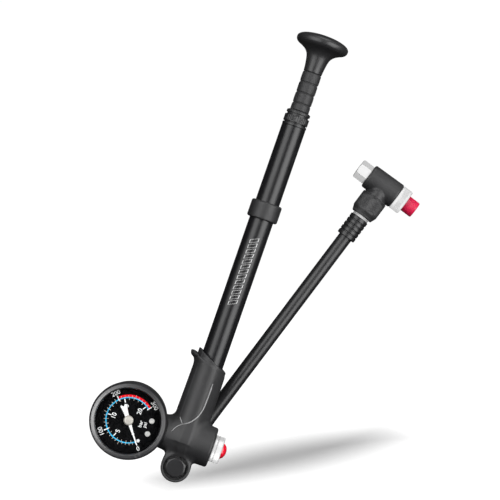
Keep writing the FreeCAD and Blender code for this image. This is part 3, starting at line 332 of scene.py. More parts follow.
MATERIALS = {
    "black_plastic": moulded("moulded_black_plastic", (0.020, 0.020, 0.021), 0.5),
    "black_rubber": moulded("soft_black_rubber", (0.018, 0.018, 0.019), 0.55, grain=1300, sheen=0.06),
    "black_anodised": drawn_tube("anodised_tube", (0.006, 0.006, 0.007), 0.33),
    "black_metal": coated_metal("satin_black_metal", (0.014, 0.014, 0.015), 0.34),
    "hose_rubber": extruded_rubber("hose_cover", (0.014, 0.014, 0.015), 0.36),
    "chrome": plated("bright_plate", (0.95, 0.95, 0.95), 0.14),
    "steel": plated("turned_steel", (0.62, 0.62, 0.63), 0.3),
    "brass": plated("turned_brass", COLOUR_OF["brass"], 0.26),
    "red_plastic": gloss_moulding("gloss_red", (0.78, 0.008, 0.03), 0.16),
    "lens_clear": clear_lens("polished_lens"),
    "dial_black": enamel("dial_black_print", (0.0025, 0.0025, 0.003), 0.7, gloss=0.05),
    "pointer_white": enamel("pointer_enamel", (0.9, 0.9, 0.9), 0.5),
    "nylon": moulded("natural_nylon", (0.78, 0.77, 0.72), 0.45, wear=0.0),
}
PRINT_WHITE = enamel("white_print", (0.97, 0.97, 0.97), 0.6, gloss=0.2)
PRINT_BLUE = enamel("blue_print", (0.03, 0.47, 0.82), 0.6, gloss=0.1)
PRINT_RED = enamel("red_print", (0.9, 0.004, 0.015), 0.6, gloss=0.1)
PRINT_GREY = enamel("grey_print", (0.55, 0.55, 0.55), 0.5)
PRINT_BEIGE = enamel("beige_print", (0.5, 0.44, 0.38), 0.5)
GROUND_ROD = plated("ground_rod", (0.2, 0.2, 0.205), 0.38, turned_lines=False, depth=0.0000005)
HUB_METAL = plated("hub_nickel", (0.72, 0.68, 0.62), 0.4, metallic=0.6)
CRIMSON = moulded("crimson_anodised_knob", (0.52, 0.008, 0.05), 0.36, 2400, 0.00002, wear=0.1)
# The ridges' light grey is a painted highlight along their crests.
PAINTED_RIDGE_HIGHLIGHT = moulded("painted_ridge_highlight", (0.26, 0.26, 0.262), 0.3, grain=900, wear=0.0)
KNOB_RUBBER = moulded("palm_knob_rubber", (0.019, 0.019, 0.02), 0.37, 1500, 0.00001, wear=0.3)
BEZEL_BLACK = coated_metal("bezel_satin_black", (0.012, 0.012, 0.013), 0.32)
# The satin and pale plates carry painted shade: grey lines along their sharp edges.
SATIN_PLATE = plated("satin_plate", (0.93, 0.93, 0.93), 0.32, metallic=0.2, edge=(0.32, 0.32, 0.32))
PALE_PLATE = plated("pale_plate", (0.92, 0.92, 0.92), 0.4, metallic=0.05, edge=(0.62, 0.62, 0.62))
PALE_NICKEL = plated("pale_nickel", (0.75, 0.74, 0.72), 0.35, metallic=0.4)
COLLAR_PLATE = plated("collar_plate", (0.97, 0.97, 0.97), 0.3, metallic=0.1)
BRIGHT = (SATIN_PLATE, PALE_PLATE, COLLAR_PLATE)


# ---------------------------------------------------------------- mesh helpers


def show(name, data):
    """An object with this data, in the scene."""
    obj = bpy.data.objects.new(name, data)
    bpy.context.scene.collection.objects.link(obj)
    return obj


def show_mesh(name, points_m, faces, material):
    mesh = bpy.data.meshes.new(name)
    mesh.from_pydata(points_m, [], faces)
    mesh.materials.append(material)
    return show(name, mesh)


def new_piece(name, node, part, matrix=UPRIGHT, material=None, sharp_deg=38, slot=None):
    """A piece on a CAD node's body, made of a part (vertices, faces) in millimetres in a local frame."""
    slot = slot or SLOT_OF[node]
    turn = np.array(matrix, float)
    points = (np.asarray(part[0], float) @ turn[:3, :3].T + turn[:3, 3]) * MM
    faces = [list(map(int, f)) for f in part[1]]
    obj = show_mesh(name, points.tolist(), faces, material or MATERIALS[slot])
    obj.data.validate()
    obj.data.polygons.foreach_set("use_smooth", [True] * len(obj.data.polygons))
    obj.data.set_sharp_from_angle(angle=math.radians(sharp_deg))
    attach(obj, BODY_OF[node])
    return obj


def stand_in(name, node, part, matrix=UPRIGHT, material=None, sharp_deg=38):
    """A new piece that takes the place of a CAD node, with its body and slot."""
    obj = new_piece(name, node, part, matrix, material, sharp_deg)
    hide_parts(node)
    return obj


def rounded(outline, steps=5):
    """Outline corners (radius, height, fillet) as points, each filleted corner as an arc."""
    points = []
    count = len(outline)
    for i, corner in enumerate(outline):
        here = np.array(corner[:2], float)
        fillet = corner[2] if len(corner) > 2 else 0
        if not fillet:
            points.append(tuple(here))
            continue
        back = np.array(outline[i - 1][:2], float) - here
        ahead = np.array(outline[(i + 1) % count][:2], float) - here
        back /= np.linalg.norm(back)
        ahead /= np.linalg.norm(ahead)
        half = math.acos(max(-1, min(1, float(back @ ahead)))) / 2
        reach = fillet / math.tan(half)
        middle = here + (back + ahead) / np.linalg.norm(back + ahead) * fillet / math.sin(half)
        start, end = here + back * reach, here + ahead * reach
        a0 = math.atan2(*(start - middle)[::-1])
        sweep = math.atan2(*(end - middle)[::-1]) - a0
        sweep = (sweep + math.pi) % TAU - math.pi
        for k in range(steps + 1):
            angle = a0 + sweep * k / steps
            points.append((middle[0] + fillet * math.cos(angle), middle[1] + fillet * math.sin(angle)))
    return points


def lathe(outline, segments=96, shape=None):
    """A closed outline (radius, height) turned about Z. shape(radius, height, angle) bends it."""
    r = np.array([p[0] for p in outline], float)
    z = np.array([p[1] for p in outline], float)
    angle = np.arange(segments) * TAU / segments
    radius = np.repeat(r[:, None], segments, 1)
    height = np.repeat(z[:, None], segments, 1)
    theta = np.repeat(angle[None, :], len(r), 0)
    if shape is not None:
        radius, height = shape(radius, height, theta)
    points = np.stack([radius * np.cos(theta), radius * np.sin(theta), height], -1).reshape(-1, 3)
    on_axis = r < 1e-6
    index = np.arange(len(r) * segments).reshape(len(r), segments)
    index[on_axis] = index[on_axis][:, :1]
    faces = []
    for i in range(len(r)):
        j = (i + 1) % len(r)
        if on_axis[i] and on_axis[j]:
            continue
        for k in range(segments):
            m = (k + 1) % segments
            corners = [index[i, k], index[i, m], index[j, m], index[j, k]]
            faces.append(list(dict.fromkeys(corners)))
    used = np.unique([v for f in faces for v in f])
    place = np.full(len(points), -1)
    place[used] = np.arange(len(used))
    return points[used], [[place[v] for v in f] for f in faces]


def flowing_line(points, steps=6):
    """A smooth line through the points (Catmull-Rom)."""
    p = [np.array(q, float) for q in points]
    p = [2 * p[0] - p[1]] + p + [2 * p[-1] - p[-2]]
    line = []
    for a, b, c, d in zip(p, p[1:], p[2:], p[3:]):
        for k in range(steps):
            t = k / steps
            bend = (2 * a - 5 * b + 4 * c - d) * t**2 + (3 * b - a - 3 * c + d) * t**3
            line.append(tuple(0.5 * (2 * b + (c - a) * t + bend)))
    line.append(tuple(points[-1]))
    return line


def finely(points, longest):
    """The same closed outline with no step longer than this."""
    result = []
    for a, b in zip(points, points[1:] + points[:1]):
        start, step = np.array(a), np.array(b) - np.array(a)
        count = max(1, math.ceil(np.linalg.norm(step) / longest))
        result += [tuple(start + step * k / count) for k in range(count)]
    return result


def turned(name, node, outline, matrix=UPRIGHT, segments=96, shape=None, material=None,
           longest=None, sharp_deg=38):
    """A turned piece with filleted corners that takes the place of a CAD node."""
    points = rounded(outline)
    if longest:
        points = finely(points, longest)
    return stand_in(name, node, lathe(points, segments, shape), matrix, material, sharp_deg)


def knurl(count, depth, low, high, fade=0.3):
    """A lathe shape: straight teeth around the skin between two heights."""

    def shape(radius, height, theta):
        inside = np.clip((height - low) / fade, 0, 1) * np.clip((high - height) / fade, 0, 1)
        outer = radius > radius.max() - 1.2
        tooth = np.abs(((theta * count / TAU) % 1) - 0.5) * 2
        return radius - depth * (1 - tooth) * inside * outer, height

    return shape


def hexagonal(flats, turn=0.0):
    """A lathe shape: no point lies further out than a hexagon of this size across flats."""

    def shape(radius, height, theta):
        sixth = (theta - turn + math.pi / 6) % (math.pi / 3) - math.pi / 6
        flat = np.minimum(radius, flats / 2 / np.cos(sixth))
        return np.where(radius > flats * 0.42, flat, radius), height

    return shape


def join_parts(*parts):
    """Several (vertices, faces) as one."""
    vertices, faces, start = [], [], 0
    for points, polygons in parts:
        vertices.append(np.asarray(points, float))
        faces += [[v + start for v in f] for f in polygons]
        start += len(points)
    return np.concatenate(vertices), faces


def skinned(rings):
    """Rings with the same number of points each, joined into a tube with closed ends."""
    sides = len(rings[0])
    faces = []
    for start in range(0, (len(rings) - 1) * sides, sides):
        for s in range(sides):
            m = (s + 1) % sides
            faces.append([start + s, start + m, start + sides + m, start + sides + s])
    last = (len(rings) - 1) * sides
    faces += [list(range(sides))[::-1], [last + s for s in range(sides)]]
    return [point for ring in rings for point in ring], faces


def extruded(outline, start, end):
    """An outline (x, z), anticlockwise from the front, as a plate between two depths along Y."""
    count = len(outline)
    points = [(x, y, z) for y in (start, end) for x, z in outline]
    faces = [list(range(count))[::-1], list(range(count, 2 * count))]
    faces += [[(i + 1) % count, count + (i + 1) % count, count + i, i] for i in range(count)]
    return points, faces


# ---------------------------------------------------------------- smooth solids from distances


def cylinder_distance(p, axis, start, end, radius_start, radius_end=None, at=(0, 0), fillet=0.0):
    """Distance to a cylinder or cone along an axis of the frame, with rounded rims."""
    radius_end = radius_start if radius_end is None else radius_end
    a = "XYZ".index(axis)
    others = [i for i in range(3) if i != a]
    across = np.hypot(p[..., others[0]] - at[0], p[..., others[1]] - at[1])
    t = np.clip((p[..., a] - start) / (end - start), 0, 1)
    slope = (radius_end - radius_start) / (end - start)
    side = (across - (radius_start + (radius_end - radius_start) * t)) / math.hypot(1, slope) + fillet
    ends = np.abs(p[..., a] - (start + end) / 2) - abs(end - start) / 2 + fillet
    outside = np.hypot(np.maximum(side, 0), np.maximum(ends, 0))
    return np.minimum(np.maximum(side, ends), 0) + outside - fillet


def box_distance(p, low, high, fillet=0.0):
    middle, half = (np.array(low) + high) / 2, (np.array(high, float) - low) / 2 - fillet
    q = np.abs(p - middle) - half
    return np.linalg.norm(np.maximum(q, 0), axis=-1) + np.minimum(q.max(-1), 0) - fillet


def smooth_union(a, b, reach):
    h = np.clip(0.5 + 0.5 * (b - a) / reach, 0, 1)
    return b * (1 - h) + a * h - reach * h * (1 - h)


def smooth_cut(a, tool, reach=0.5):
    return -smooth_union(-a, tool, reach)


def settled(vertices, distance, step):
    """Points moved along the slope of a distance until they lie on its zero surface."""
    probe, limit = 0.02, step * 0.4
    for _ in range(3):
        here = distance(vertices)
        rise = [distance(vertices + e) - distance(vertices - e) for e in np.eye(3) * probe]
        slope = np.stack(rise, -1) / (2 * probe)
        push = here / np.maximum((slope**2).sum(-1), 0.3)
        vertices = vertices - np.clip(push, -limit, limit)[:, None] * slope
    return vertices


def solid_from_distance(distance, low, high, step):
    """The surface where distance(points) is 0, as vertices and quads (surface nets).

    Each grid cell that the surface crosses gets one vertex, the mean of the crossings on its edges,
    and each crossed edge gets one quad between the four cells around it.
    """
    low = np.array(low, float)
    counts = np.ceil((np.array(high) - low) / step).astype(int) + 1
    axes = [low[i] + step * np.arange(counts[i]) for i in range(3)]
    values = np.empty(counts, np.float32)
    grid_y, grid_z = np.meshgrid(axes[1], axes[2], indexing="ij")
    for i, x in enumerate(axes[0]):
        layer = np.stack([np.full_like(grid_y, x), grid_y, grid_z], -1)
        values[i] = distance(layer)
    inside = values < 0
    cells = counts - 1
    total = np.zeros((int(np.prod(cells)), 3))
    number = np.zeros(int(np.prod(cells)))
    quads = []
    for axis in range(3):
        ahead = np.eye(3, dtype=int)[axis]
        starts = tuple(slice(None, n - d) for n, d in zip(counts, ahead))
        ends = tuple(slice(d, None) for d in ahead)
        at = np.argwhere(inside[starts] != inside[ends])
        here = tuple(at.T)
        va, vb = values[starts][here], values[ends][here]
        position = at.astype(float)
        position[:, axis] += va / (va - vb)
        side, other = np.roll(ahead, 1), np.roll(ahead, 2)
        corners = [at, at - side, at - side - other, at - other]
        keep = np.all([(c >= 0).all(1) & (c < cells).all(1) for c in corners], axis=0)
        flat = [np.ravel_multi_index(np.clip(c, 0, cells - 1).T, tuple(cells)) for c in corners]
        for f in flat:
            number += np.bincount(f[keep], minlength=len(number))
            for k in range(3):
                total[:, k] += np.bincount(f[keep], position[keep, k], minlength=len(number))
        quad = np.stack(flat, 1)[keep]
        backwards = ~inside[starts][here][keep]
        quad[backwards] = quad[backwards][:, ::-1]
        quads.append(quad)
    used = np.nonzero(number)[0]
    vertices = low + step * total[used] / number[used][:, None]
    place = np.full(len(number), -1)
    place[used] = np.arange(len(used))
    return settled(vertices, distance, step), place[np.concatenate(quads)].tolist()


def bored(solid, p, bores, reach):
    """A solid's distance less its bores, each given as (axis, start, end, radius, at)."""
    for axis, start, end, radius, at in bores:
        solid = smooth_cut(solid, cylinder_distance(p, axis, start, end, radius, at=at), reach)
    return solid


def moulded_piece(name, node, distance, steps, margin, box=None, matrix=UPRIGHT, material=None):
    """A solid in a CAD node's place, from its distance."""
    low, high = box or node_box(node)
    low, high = [c - margin for c in low], [c + margin for c in high]
    part = solid_from_distance(distance, low, high, steps[1])
    return stand_in(name, node, part, matrix, material, sharp_deg=60)


# ---------------------------------------------------------------- camera, lights and floor

BACKDROP_STRENGTH = 1.02
ROOM_STRENGTH = 0.035
FLOOR_GAP = 0.0015
FLOOR_HALF = 6.0
FLOOR_GLOW = 0.42
CAMERA_DISTANCE = 1.099
CAMERA_HEIGHT = 0.1295
CAMERA_SIDE = -0.0006
CAMERA_ROLL_DEG = 19.18
VIEW_WIDTH_DEG = 16.82
SENSOR_MM = 36.0


def make_camera():
    roll = math.radians(CAMERA_ROLL_DEG)
    data = bpy.data.cameras.new("camera")
    data.sensor_width = SENSOR_MM
    data.lens = SENSOR_MM / 2 / math.tan(math.radians(VIEW_WIDTH_DEG / 2))
    camera = show("camera", data)
    right = Vector((math.cos(roll), 0, math.sin(roll)))
    up = Vector((-math.sin(roll), 0, math.cos(roll)))
    turn = Matrix((right, up, Vector((0, -1, 0)))).transposed().to_4x4()
    camera.matrix_world = Matrix.Translation((CAMERA_SIDE, -CAMERA_DISTANCE, CAMERA_HEIGHT)) @ turn
    bpy.context.scene.camera = camera


def collection_of(name, objects):
    """A collection for light linking; it isn't part of the scene's own tree."""
    group = bpy.data.collections.new(name)
    for obj in objects:
        group.objects.link(obj)
    return group


def area_light(name, azimuth_deg, elevation_deg, size, radiance, lit, blockers=None,
               distance=1.2, glossy=True):
    """A softbox that faces the pump's middle and lights one group. Azimuth 0 is the camera's side."""
    azimuth, elevation = math.radians(azimuth_deg), math.radians(elevation_deg)
    level = math.cos(elevation)
    toward = Vector((math.sin(azimuth) * level, -math.cos(azimuth) * level, math.sin(elevation)))
    data = bpy.data.lights.new(name, "AREA")
    data.shape = "RECTANGLE"
    data.size, data.size_y = size
    data.energy = radiance * math.pi * size[0] * size[1]
    light = show(name, data)
    light.location = Vector((0, 0, CAMERA_HEIGHT)) + toward * distance
    light.rotation_mode = "QUATERNION"
    light.rotation_quaternion = toward.to_track_quat("Z", "Y")
    light.light_linking.receiver_collection = lit
    light.light_linking.blocker_collection = blockers
    light.visible_glossy = glossy


def make_world():
    """White for the camera, and a dim grey room for everything that the pump reflects."""
    world = bpy.data.worlds.new("studio")
    bpy.context.scene.world = world
    world.use_nodes = True
    tree = world.node_tree
    tree.nodes.clear()
    mixed = tree.nodes.new("ShaderNodeMixShader")
    path = tree.nodes.new("ShaderNodeLightPath")
    tree.links.new(path.outputs["Is Camera Ray"], mixed.inputs[0])
    for place, strength in ((1, ROOM_STRENGTH), (2, BACKDROP_STRENGTH)):
        white = tree.nodes.new("ShaderNodeBackground")
        white.inputs["Color"].default_value = (1, 1, 1, 1)
        white.inputs["Strength"].default_value = strength
        tree.links.new(white.outputs[0], mixed.inputs[place])
    out = tree.nodes.new("ShaderNodeOutputWorld")
    tree.links.new(mixed.outputs[0], out.inputs["Surface"])


def make_floor():
    """A large pale floor just under the pump; only its shadow shows against the background."""
    n = Nodes("pale_floor")
    diffuse = n.add("ShaderNodeBsdfDiffuse")
    tone = n.mix(n.spread(n.noise(3, 2), 0, 1), (0.80, 0.80, 0.80), (0.82, 0.82, 0.82))
    n.link(tone, diffuse.inputs["Color"])
    glow = n.add("ShaderNodeEmission")
    glow.inputs["Strength"].default_value = FLOOR_GLOW
    both = n.add("ShaderNodeAddShader")
    n.link(diffuse.outputs[0], both.inputs[0])
    n.link(glow.outputs[0], both.inputs[1])
    n.link(both.outputs[0], n.out.inputs["Surface"])
    height = cad_box[0].z - FLOOR_GAP
    corners = [(x * FLOOR_HALF, y * FLOOR_HALF, height) for x, y in ((-1, -1), (1, -1), (1, 1), (-1, 1))]
    floor = show_mesh("floor", corners, [(0, 1, 2, 3)], n.material)
    floor.visible_glossy = False
    floor.visible_diffuse = False
    return floor


def make_stage():
    make_world()
    floor = make_floor()
    pump = [o for o in bpy.context.scene.objects if o.type in ("MESH", "CURVE") and o is not floor]
    plate = [o for o in pump if o.data.materials and o.data.materials[0] in BRIGHT]
    bezel = [o for o in pump if BEZEL_BLACK in list(o.data.materials)]
    lit_pump = collection_of("lit_pump", [o for o in pump if o not in plate])
    lit_plate = collection_of("lit_plate", plate)
    lit_bezel = collection_of("lit_bezel", bezel)
    solids = collection_of("shading_pump", pump)

    area_light("softbox_left", -37, 8, (0.92, 1.5), 3.4, lit_pump)
    area_light("softbox_right", 44, 8, (1.05, 1.5), 4.6, lit_pump)
    area_light("front_fill", 2, 24, (1.3, 0.9), 2.0, lit_pump, distance=1.6, glossy=False)
    area_light("top_rim", 0, 80, (0.5, 0.5), 3.0, lit_pump, distance=0.9)
    area_light("rear_fill", 180, 20, (1.6, 1.2), 7.0, lit_pump, glossy=False)
    area_light("bezel_glow", -25, -17, (0.7, 0.7), 13.0, lit_bezel, solids)
    # The bright plate has its own even light, so that its facets differ only a little.
    for name, azimuth, elevation, radiance in (
        ("front", 0, 0, 1.0), ("high", 0, 60, 2.4), ("low", 0, -60, 2.4), ("back", 180, 10, 0.9),
    ):
        area_light(f"plate_{name}", azimuth, elevation, (1.5, 1.2), radiance, lit_plate, solids)
    make_shadow(floor)


# The shadow's two ends on the floor, in millimetres. Its width and the height of the card that
# throws it are shares of the distance from the camera.
SHADOW_NEAR = Vector((-15, -62))
SHADOW_FAR = Vector((275, 1166))
SHADOW_SPREAD = 0.0150
SHADOW_SOFTNESS_DEG = 4.8
SHADOW_STRENGTH = 2.6
SHADOW_STEPS = 32
CARD_RISE = 0.3


def card_points():
    """Both edges of a long leaf-shaped card that stands higher the further away it is."""
    eye = CAMERA_DISTANCE / MM
    nearest, farthest = SHADOW_NEAR.y + eye, SHADOW_FAR.y + eye
    along = (SHADOW_FAR - SHADOW_NEAR).normalized()
    points = []
    for share in np.linspace(0, 1, SHADOW_STEPS + 1):
        distance = 1 / ((1 - share) / nearest + share / farthest)
        middle = SHADOW_NEAR.lerp(SHADOW_FAR, (distance - nearest) / (farthest - nearest))
        half = SHADOW_SPREAD * distance * math.sin(math.pi * share) ** 0.8
        for sign in (-1, 1):
            x = middle.x + sign * half * along.y
            y = middle.y - sign * half * along.x
            points.append((x * MM, y * MM, CARD_RISE * distance * MM))
    return points


def make_shadow(floor):
    """One soft shadow trailing away behind the pump: a sun for the floor alone, and a long card."""
    data = bpy.data.lights.new("shadow_sun", "SUN")
    data.energy = SHADOW_STRENGTH
    data.angle = math.radians(SHADOW_SOFTNESS_DEG)
    sun = show("shadow_sun", data)
    sun.rotation_mode = "QUATERNION"
    n = Nodes("card_cloth")
    weave = n.spread(n.noise(300, 2), 0, 1)
    cloth = n.surface(base_color=n.mix(weave, (0.02, 0.02, 0.02), (0.03, 0.03, 0.03)), roughness=0.9)
    faces = [(k, k + 1, k + 3, k + 2) for k in range(0, 2 * SHADOW_STEPS, 2)]
    card = show_mesh("shadow_card", card_points(), faces, cloth)
    card.visible_camera = False
    card.visible_diffuse = False
    card.visible_glossy = False
    card.visible_transmission = False
    sun.light_linking.receiver_collection = collection_of("lit_floor", [floor])
    sun.light_linking.blocker_collection = collection_of("shadow_caster", [card])


def set_view_transform():
    view = bpy.context.scene.view_settings
    view.view_transform = "Standard"
    view.look = "None"


# ---------------------------------------------------------------- hose


def make_hose(with_pieces):
    """The hose as one smooth line along the route, with a point added past the bend."""
    foot, bend, end = [Vector(p) for p in HOSE_ROUTE]
    points = [foot, bend, bend + (end - bend).normalized() * (bend - foot).length, end]
    data = bpy.data.curves.new("hose_line", "CURVE")
    data.dimensions = "3D"
    spline = data.splines.new("NURBS")
    spline.points.add(len(points) - 1)
    for target, point in zip(spline.points, points):
        target.co = (*(point * MM), 1)
    spline.order_u = 3
    spline.use_endpoint_u = True
    data.resolution_u = 24
    data.bevel_depth = HOSE_RADIUS * MM
    data.bevel_resolution = 12
    data.use_fill_caps = True
    hose = show("hose_line", data)
    data.materials.append(MATERIALS["hose_rubber"])
    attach(hose, BODY_OF["hose"])
    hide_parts("hose")


# ---------------------------------------------------------------- housing and barrel


MOUTH_SLOPE = math.atan2(58.5 - 48.1, 10.7 + 10.5)
MOUTH_HEIGHT = 54.0
RIM_HEIGHT = 1.9
RIM_RADIUS = 10.85


def above_mouth(p):
    """How far a point lies above the sloped plane that cuts the socket's mouth."""
    return (p[..., 0] - 0.1) * math.sin(MOUTH_SLOPE) + (p[..., 2] - MOUTH_HEIGHT) * math.cos(MOUTH_SLOPE)


def housing_distance(p):
    """The moulding: cross tube, gauge neck, barrel socket with a rolled lip, and hose boss."""
    x, y, z = p[..., 0], p[..., 1], p[..., 2]
    cross = cylinder_distance(p, "X", -4, 18.62, 13.3, fillet=1.7)
    neck = cylinder_distance(p, "X", -20, 2, 10.8, 13.2)
    d = smooth_union(cross, neck, 2.0)
    boss = cylinder_distance(p, "Y", -9, 10, 9.6, at=(0, BOLT_Z), fillet=0.9)
    web = box_distance(p, (-9.3, -8.6, BOLT_Z), (9.3, 10, 0), 1.2)
    d = smooth_union(d, smooth_union(boss, web, 1.2), 2.6)

    # The socket narrows upwards, then its left side rolls outwards into a lip under the rim.
    across = np.hypot(x, y)
    foot_radius, narrowing, flare, flare_start = 11.9, 0.75, 4.3, 46.5
    side = np.clip(-x / np.maximum(across, 1e-6), 0, 1) ** 1.6
    roll = np.clip((z - flare_start) / 9.5, 0, 1.15) ** 2.2
    radius = foot_radius - narrowing * np.clip(z / 48, 0, 1) + flare * roll * side
    skin = np.maximum((across - radius) * 0.88, -z)
    lip = smooth_cut(skin, -(above_mouth(p) + RIM_HEIGHT + 3.0 * side), 1.6)
    edge = np.hypot(across - 13.2, z - 54.6) - 1.7 + 6 * (1 - side)
    lip = smooth_union(lip, edge, 2.2)
    rim = np.maximum(across - RIM_RADIUS, -z)
    socket = smooth_union(lip, rim, 0.5)
    # The socket's front right is planed off a little, which leaves a soft edge down its face.
    facet = (x * math.sin(0.83) - y * math.cos(0.83)) - 10.6 - 0.012 * (z - 30)
    socket = smooth_cut(socket, -facet, 1.2)
    return smooth_union(d, socket, 4.2)


def front_of(x, z):
    """The depth of the moulding's front skin behind a point of the pump's plane."""
    depths = np.linspace(-16, 0, 1601)
    line = np.stack([np.full_like(depths, x), depths, np.full_like(depths, z)], -1)
    return float(depths[np.argmax(housing_distance(line) < 0)])


def bead(points, radius, sides=10):
    """A thin round bead along a line of points, tapered at both ends."""
    path = [Vector(q) for q in points]
    last = len(path) - 1
    rings = []
    for k, here in enumerate(path):
        run = (path[min(k + 1, last)] - path[max(k - 1, 0)]).normalized()
        side = run.cross(Vector((0, 1, 0))).normalized()
        up = side.cross(run)
        taper = min(1.0, 0.25 + 0.25 * min(k, last - k))
        turns = [TAU * s / sides for s in range(sides)]
        rings.append([
            tuple(here + (side * math.cos(a) + up * math.sin(a)) * radius * taper) for a in turns
        ])
    return skinned(rings)


def make_ridges():
    """The fine raised lines on the moulding's front: one long curve and two short branches."""
    star = (-4.8, 9.3)
    lines = (
        ([(5.15, 40.2), (5.15, 34.0), (5.0, 28.0), (4.6, 22.5), (2.9, 17.0), (-0.4, 12.4), star], 0.42),
        ([star, (-6.6, 8.0), (-8.6, 5.6), (-10.0, 2.8)], 0.26),
        ([star, (-6.4, 11.2), (-8.1, 13.1)], 0.3),
    )
    parts = []
    for corners, radius in lines:
        line = [(x, front_of(x, z) - 0.08, z) for x, z in flowing_line(corners)]
        parts.append(bead(line, radius))
    # Their light grey material is a painted highlight along the crests.
    new_piece(
        "housing_ridges", "housing", join_parts(*parts), material=PAINTED_RIDGE_HIGHLIGHT, sharp_deg=60
    )


def housing_with_cuts(p):
    """The moulding with its mouth, its flat back and the bores that its insides need."""
    z = p[..., 2]
    d = smooth_cut(housing_distance(p), -above_mouth(p), 0.5)
    d = smooth_cut(d, -(p[..., 1] - np.where(z < 12, 10.4, 12.2)), 0.8)
    rear_saddle = cylinder_distance(p, "Y", -7.75, 30, 24.42, at=(GAUGE_X, 0))
    front_saddle = cylinder_distance(p, "Y", -30, -7.75, 25.35, at=(GAUGE_X, 0))
    d = smooth_cut(d, np.minimum(rear_saddle, front_saddle), 0.1)
    dish = cylinder_distance(p, "Z", 50.5, 66, 8.2, 11.4)
    bores = (
        ("Z", BARREL_LOW.z, 80, BARREL_RADIUS + 0.05, (0, 0)),
        ("Z", 18, 19.8, BARREL_RADIUS + 1.5, (0, 0)),
        ("Z", 8.5, 14.2, 4.98, (0, 0)),
        ("Z", 2.2, 9, 2.2, (0, 0)),
        ("Z", BOLT_Z, 3, 1.3, (0, 0)),
        ("X", -30, -6, 4.85, (0, 0)),
        ("X", -7, 0, 1.3, (0, 0)),
        ("X", 9.5, 30, 6.0, (0, 0)),
        ("X", 3.2, 10, 3.1, (0, 0)),
        ("X", 0, 4, 1.3, (0, 0)),
        ("Y", -20, 30, 4.0, (0, BOLT_Z)),
        ("Y", -20, -6.5, 8.0, (0, BOLT_Z)),
    )
    return bored(smooth_cut(d, dish, 0.4), p, bores, 0.35)


def make_housing():
    moulded_piece("housing_moulding", "housing", housing_with_cuts, (0.7, 0.36), 3.0)
    make_ridges()


def make_barrel():
    """The barrel with softened ends, and a row of outlined slanted bars printed on its front."""
    bore = BARREL_RADIUS - 1.9
    low, high = BARREL_LOW.z, BARREL_HIGH.z
    outline = [
        (bore, low, 0.15), (BARREL_RADIUS, low, 0.4), (BARREL_RADIUS, high, 0.4), (bore, high, 0.15),
    ]
    turned("barrel_skin", "barrel_tube", outline, segments=160)

    first, last, count = 91.5, 138.5, 13
    half, height, slant, line = 2.8, 2.35, 2.6, 0.3
    pitch = (last - first - height - slant) / (count - 1)
    bars = []
    for i in range(count):
        left = first + i * pitch
        right = left + slant
        corners = [(-half, left), (half, right), (half, right + height), (-half, left + height)]
        bars.append(outline_strip(corners, line))
    flat, faces = join_parts(*bars)
    radius = BARREL_RADIUS + 0.03
    turns = [(s / BARREL_RADIUS, z) for s, z in flat]
    wrapped = [(radius * math.sin(turn), -radius * math.cos(turn), z) for turn, z in turns]
    new_piece(
        "barrel_print", "barrel_tube", (wrapped, faces), material=PRINT_GREY, slot="pointer_white"
    )


def outline_strip(corners, line, cuts=6):
    """A closed outline drawn as a flat strip of this line width, cut finely enough to wrap."""
    points = [Vector(c) for c in corners]
    middle = sum(points, Vector((0, 0))) / len(points)
    inner = [p + (middle - p).normalized() * line * 1.6 for p in points]
    vertices, faces = [], []
    count = len(points)
    for i in range(count):
        j = (i + 1) % count
        start = len(vertices)
        for k in range(cuts + 1):
            vertices += [tuple(row[i].lerp(row[j], k / cuts)) for row in (points, inner)]
        faces += [[at, at + 2, at + 3, at + 1] for at in range(start, start + 2 * cuts, 2)]
    return vertices, faces


# ---------------------------------------------------------------- clip, gland and handle


def clip_distance(p):
    """The ring round the barrel, and the hook behind it that the folded hose lies in."""
    ring = cylinder_distance(p, "Z", 150.5, 162.2, 10.2, fillet=1.3)
    floor = box_distance(p, (-8.45, 4, 151.5), (4, 12.4, 161.2), 1.0)
    side = box_distance(p, (-8.45, 4, 151.5), (-6.45, 24.6, 161.2), 0.9)
    lip = box_distance(p, (-8.45, 22.6, 151.5), (1.5, 24.6, 161.2), 0.9)
    d = smooth_union(smooth_union(floor, side, 0.8), lip, 0.8)
    d = smooth_union(ring, d, 1.2)
    bore = cylinder_distance(p, "Z", 140, 180, BARREL_RADIUS + 0.05)
    return smooth_cut(d, bore, 0.4)


def make_gland():
    """The cap with its thin flange and knurled ring, and the plain ring that the handle rests on."""
    turned(
        "gland_cap_turned", "gland_cap",
        [
            (4.85, 206.5, 0.2), (6.05, 206.5, 0.3), (6.05, 214.5), (8.1, 214.5, 0.25),
            (8.1, 216.1, 0.3), (7.2, 216.1), (7.2, 216.8), (8.2, 216.8, 0.3), (8.2, 221.3, 0.3),
            (7.1, 221.4), (7.1, 222.0), (3.6, 222.0, 0.1), (3.6, 218.6), (5.3, 218.6),
            (5.3, 216.6), (4.85, 216.6),
        ],
        segments=288, shape=knurl(40, 0.22, 217.2, 221.0), longest=0.35,
    )
    turned(
        "rest_ring_turned", "rest_ring",
        [
            (3.7, 222.02), (7.1, 222.02), (7.1, 222.7), (7.9, 222.75, 0.2), (7.9, 224.3, 0.5),
            (6.9, 224.9, 0.3), (3.7, 224.9, 0.2),
        ],
    )


def make_grip():
    """The ribbed sleeve under the knob: four grooves, and a slight swell between them."""
    top = node_box("palm_knob")[0].z
    heights = np.arange(top - 26.25, top, 0.15)
    grooves = [229.8, 236.9, 244.0, 251.2]
    outline = [(5.02, heights[0])]
    for height in heights:
        groove = sum(0.42 * math.exp(-(((height - g) / 0.42) ** 2)) for g in grooves)
        swell = 0.10 * math.sin(math.pi * (((height - grooves[0]) / 7.1) % 1))
        end = 0.5 * max(0, 1 - (height - heights[0]) / 0.5) ** 2
        outline.append((6.18 + swell - groove - end, height))
    outline.append((5.02, outline[-1][1]))
    stand_in("grip_sleeve_ribbed", "grip_sleeve", lathe(outline, 128), sharp_deg=60)


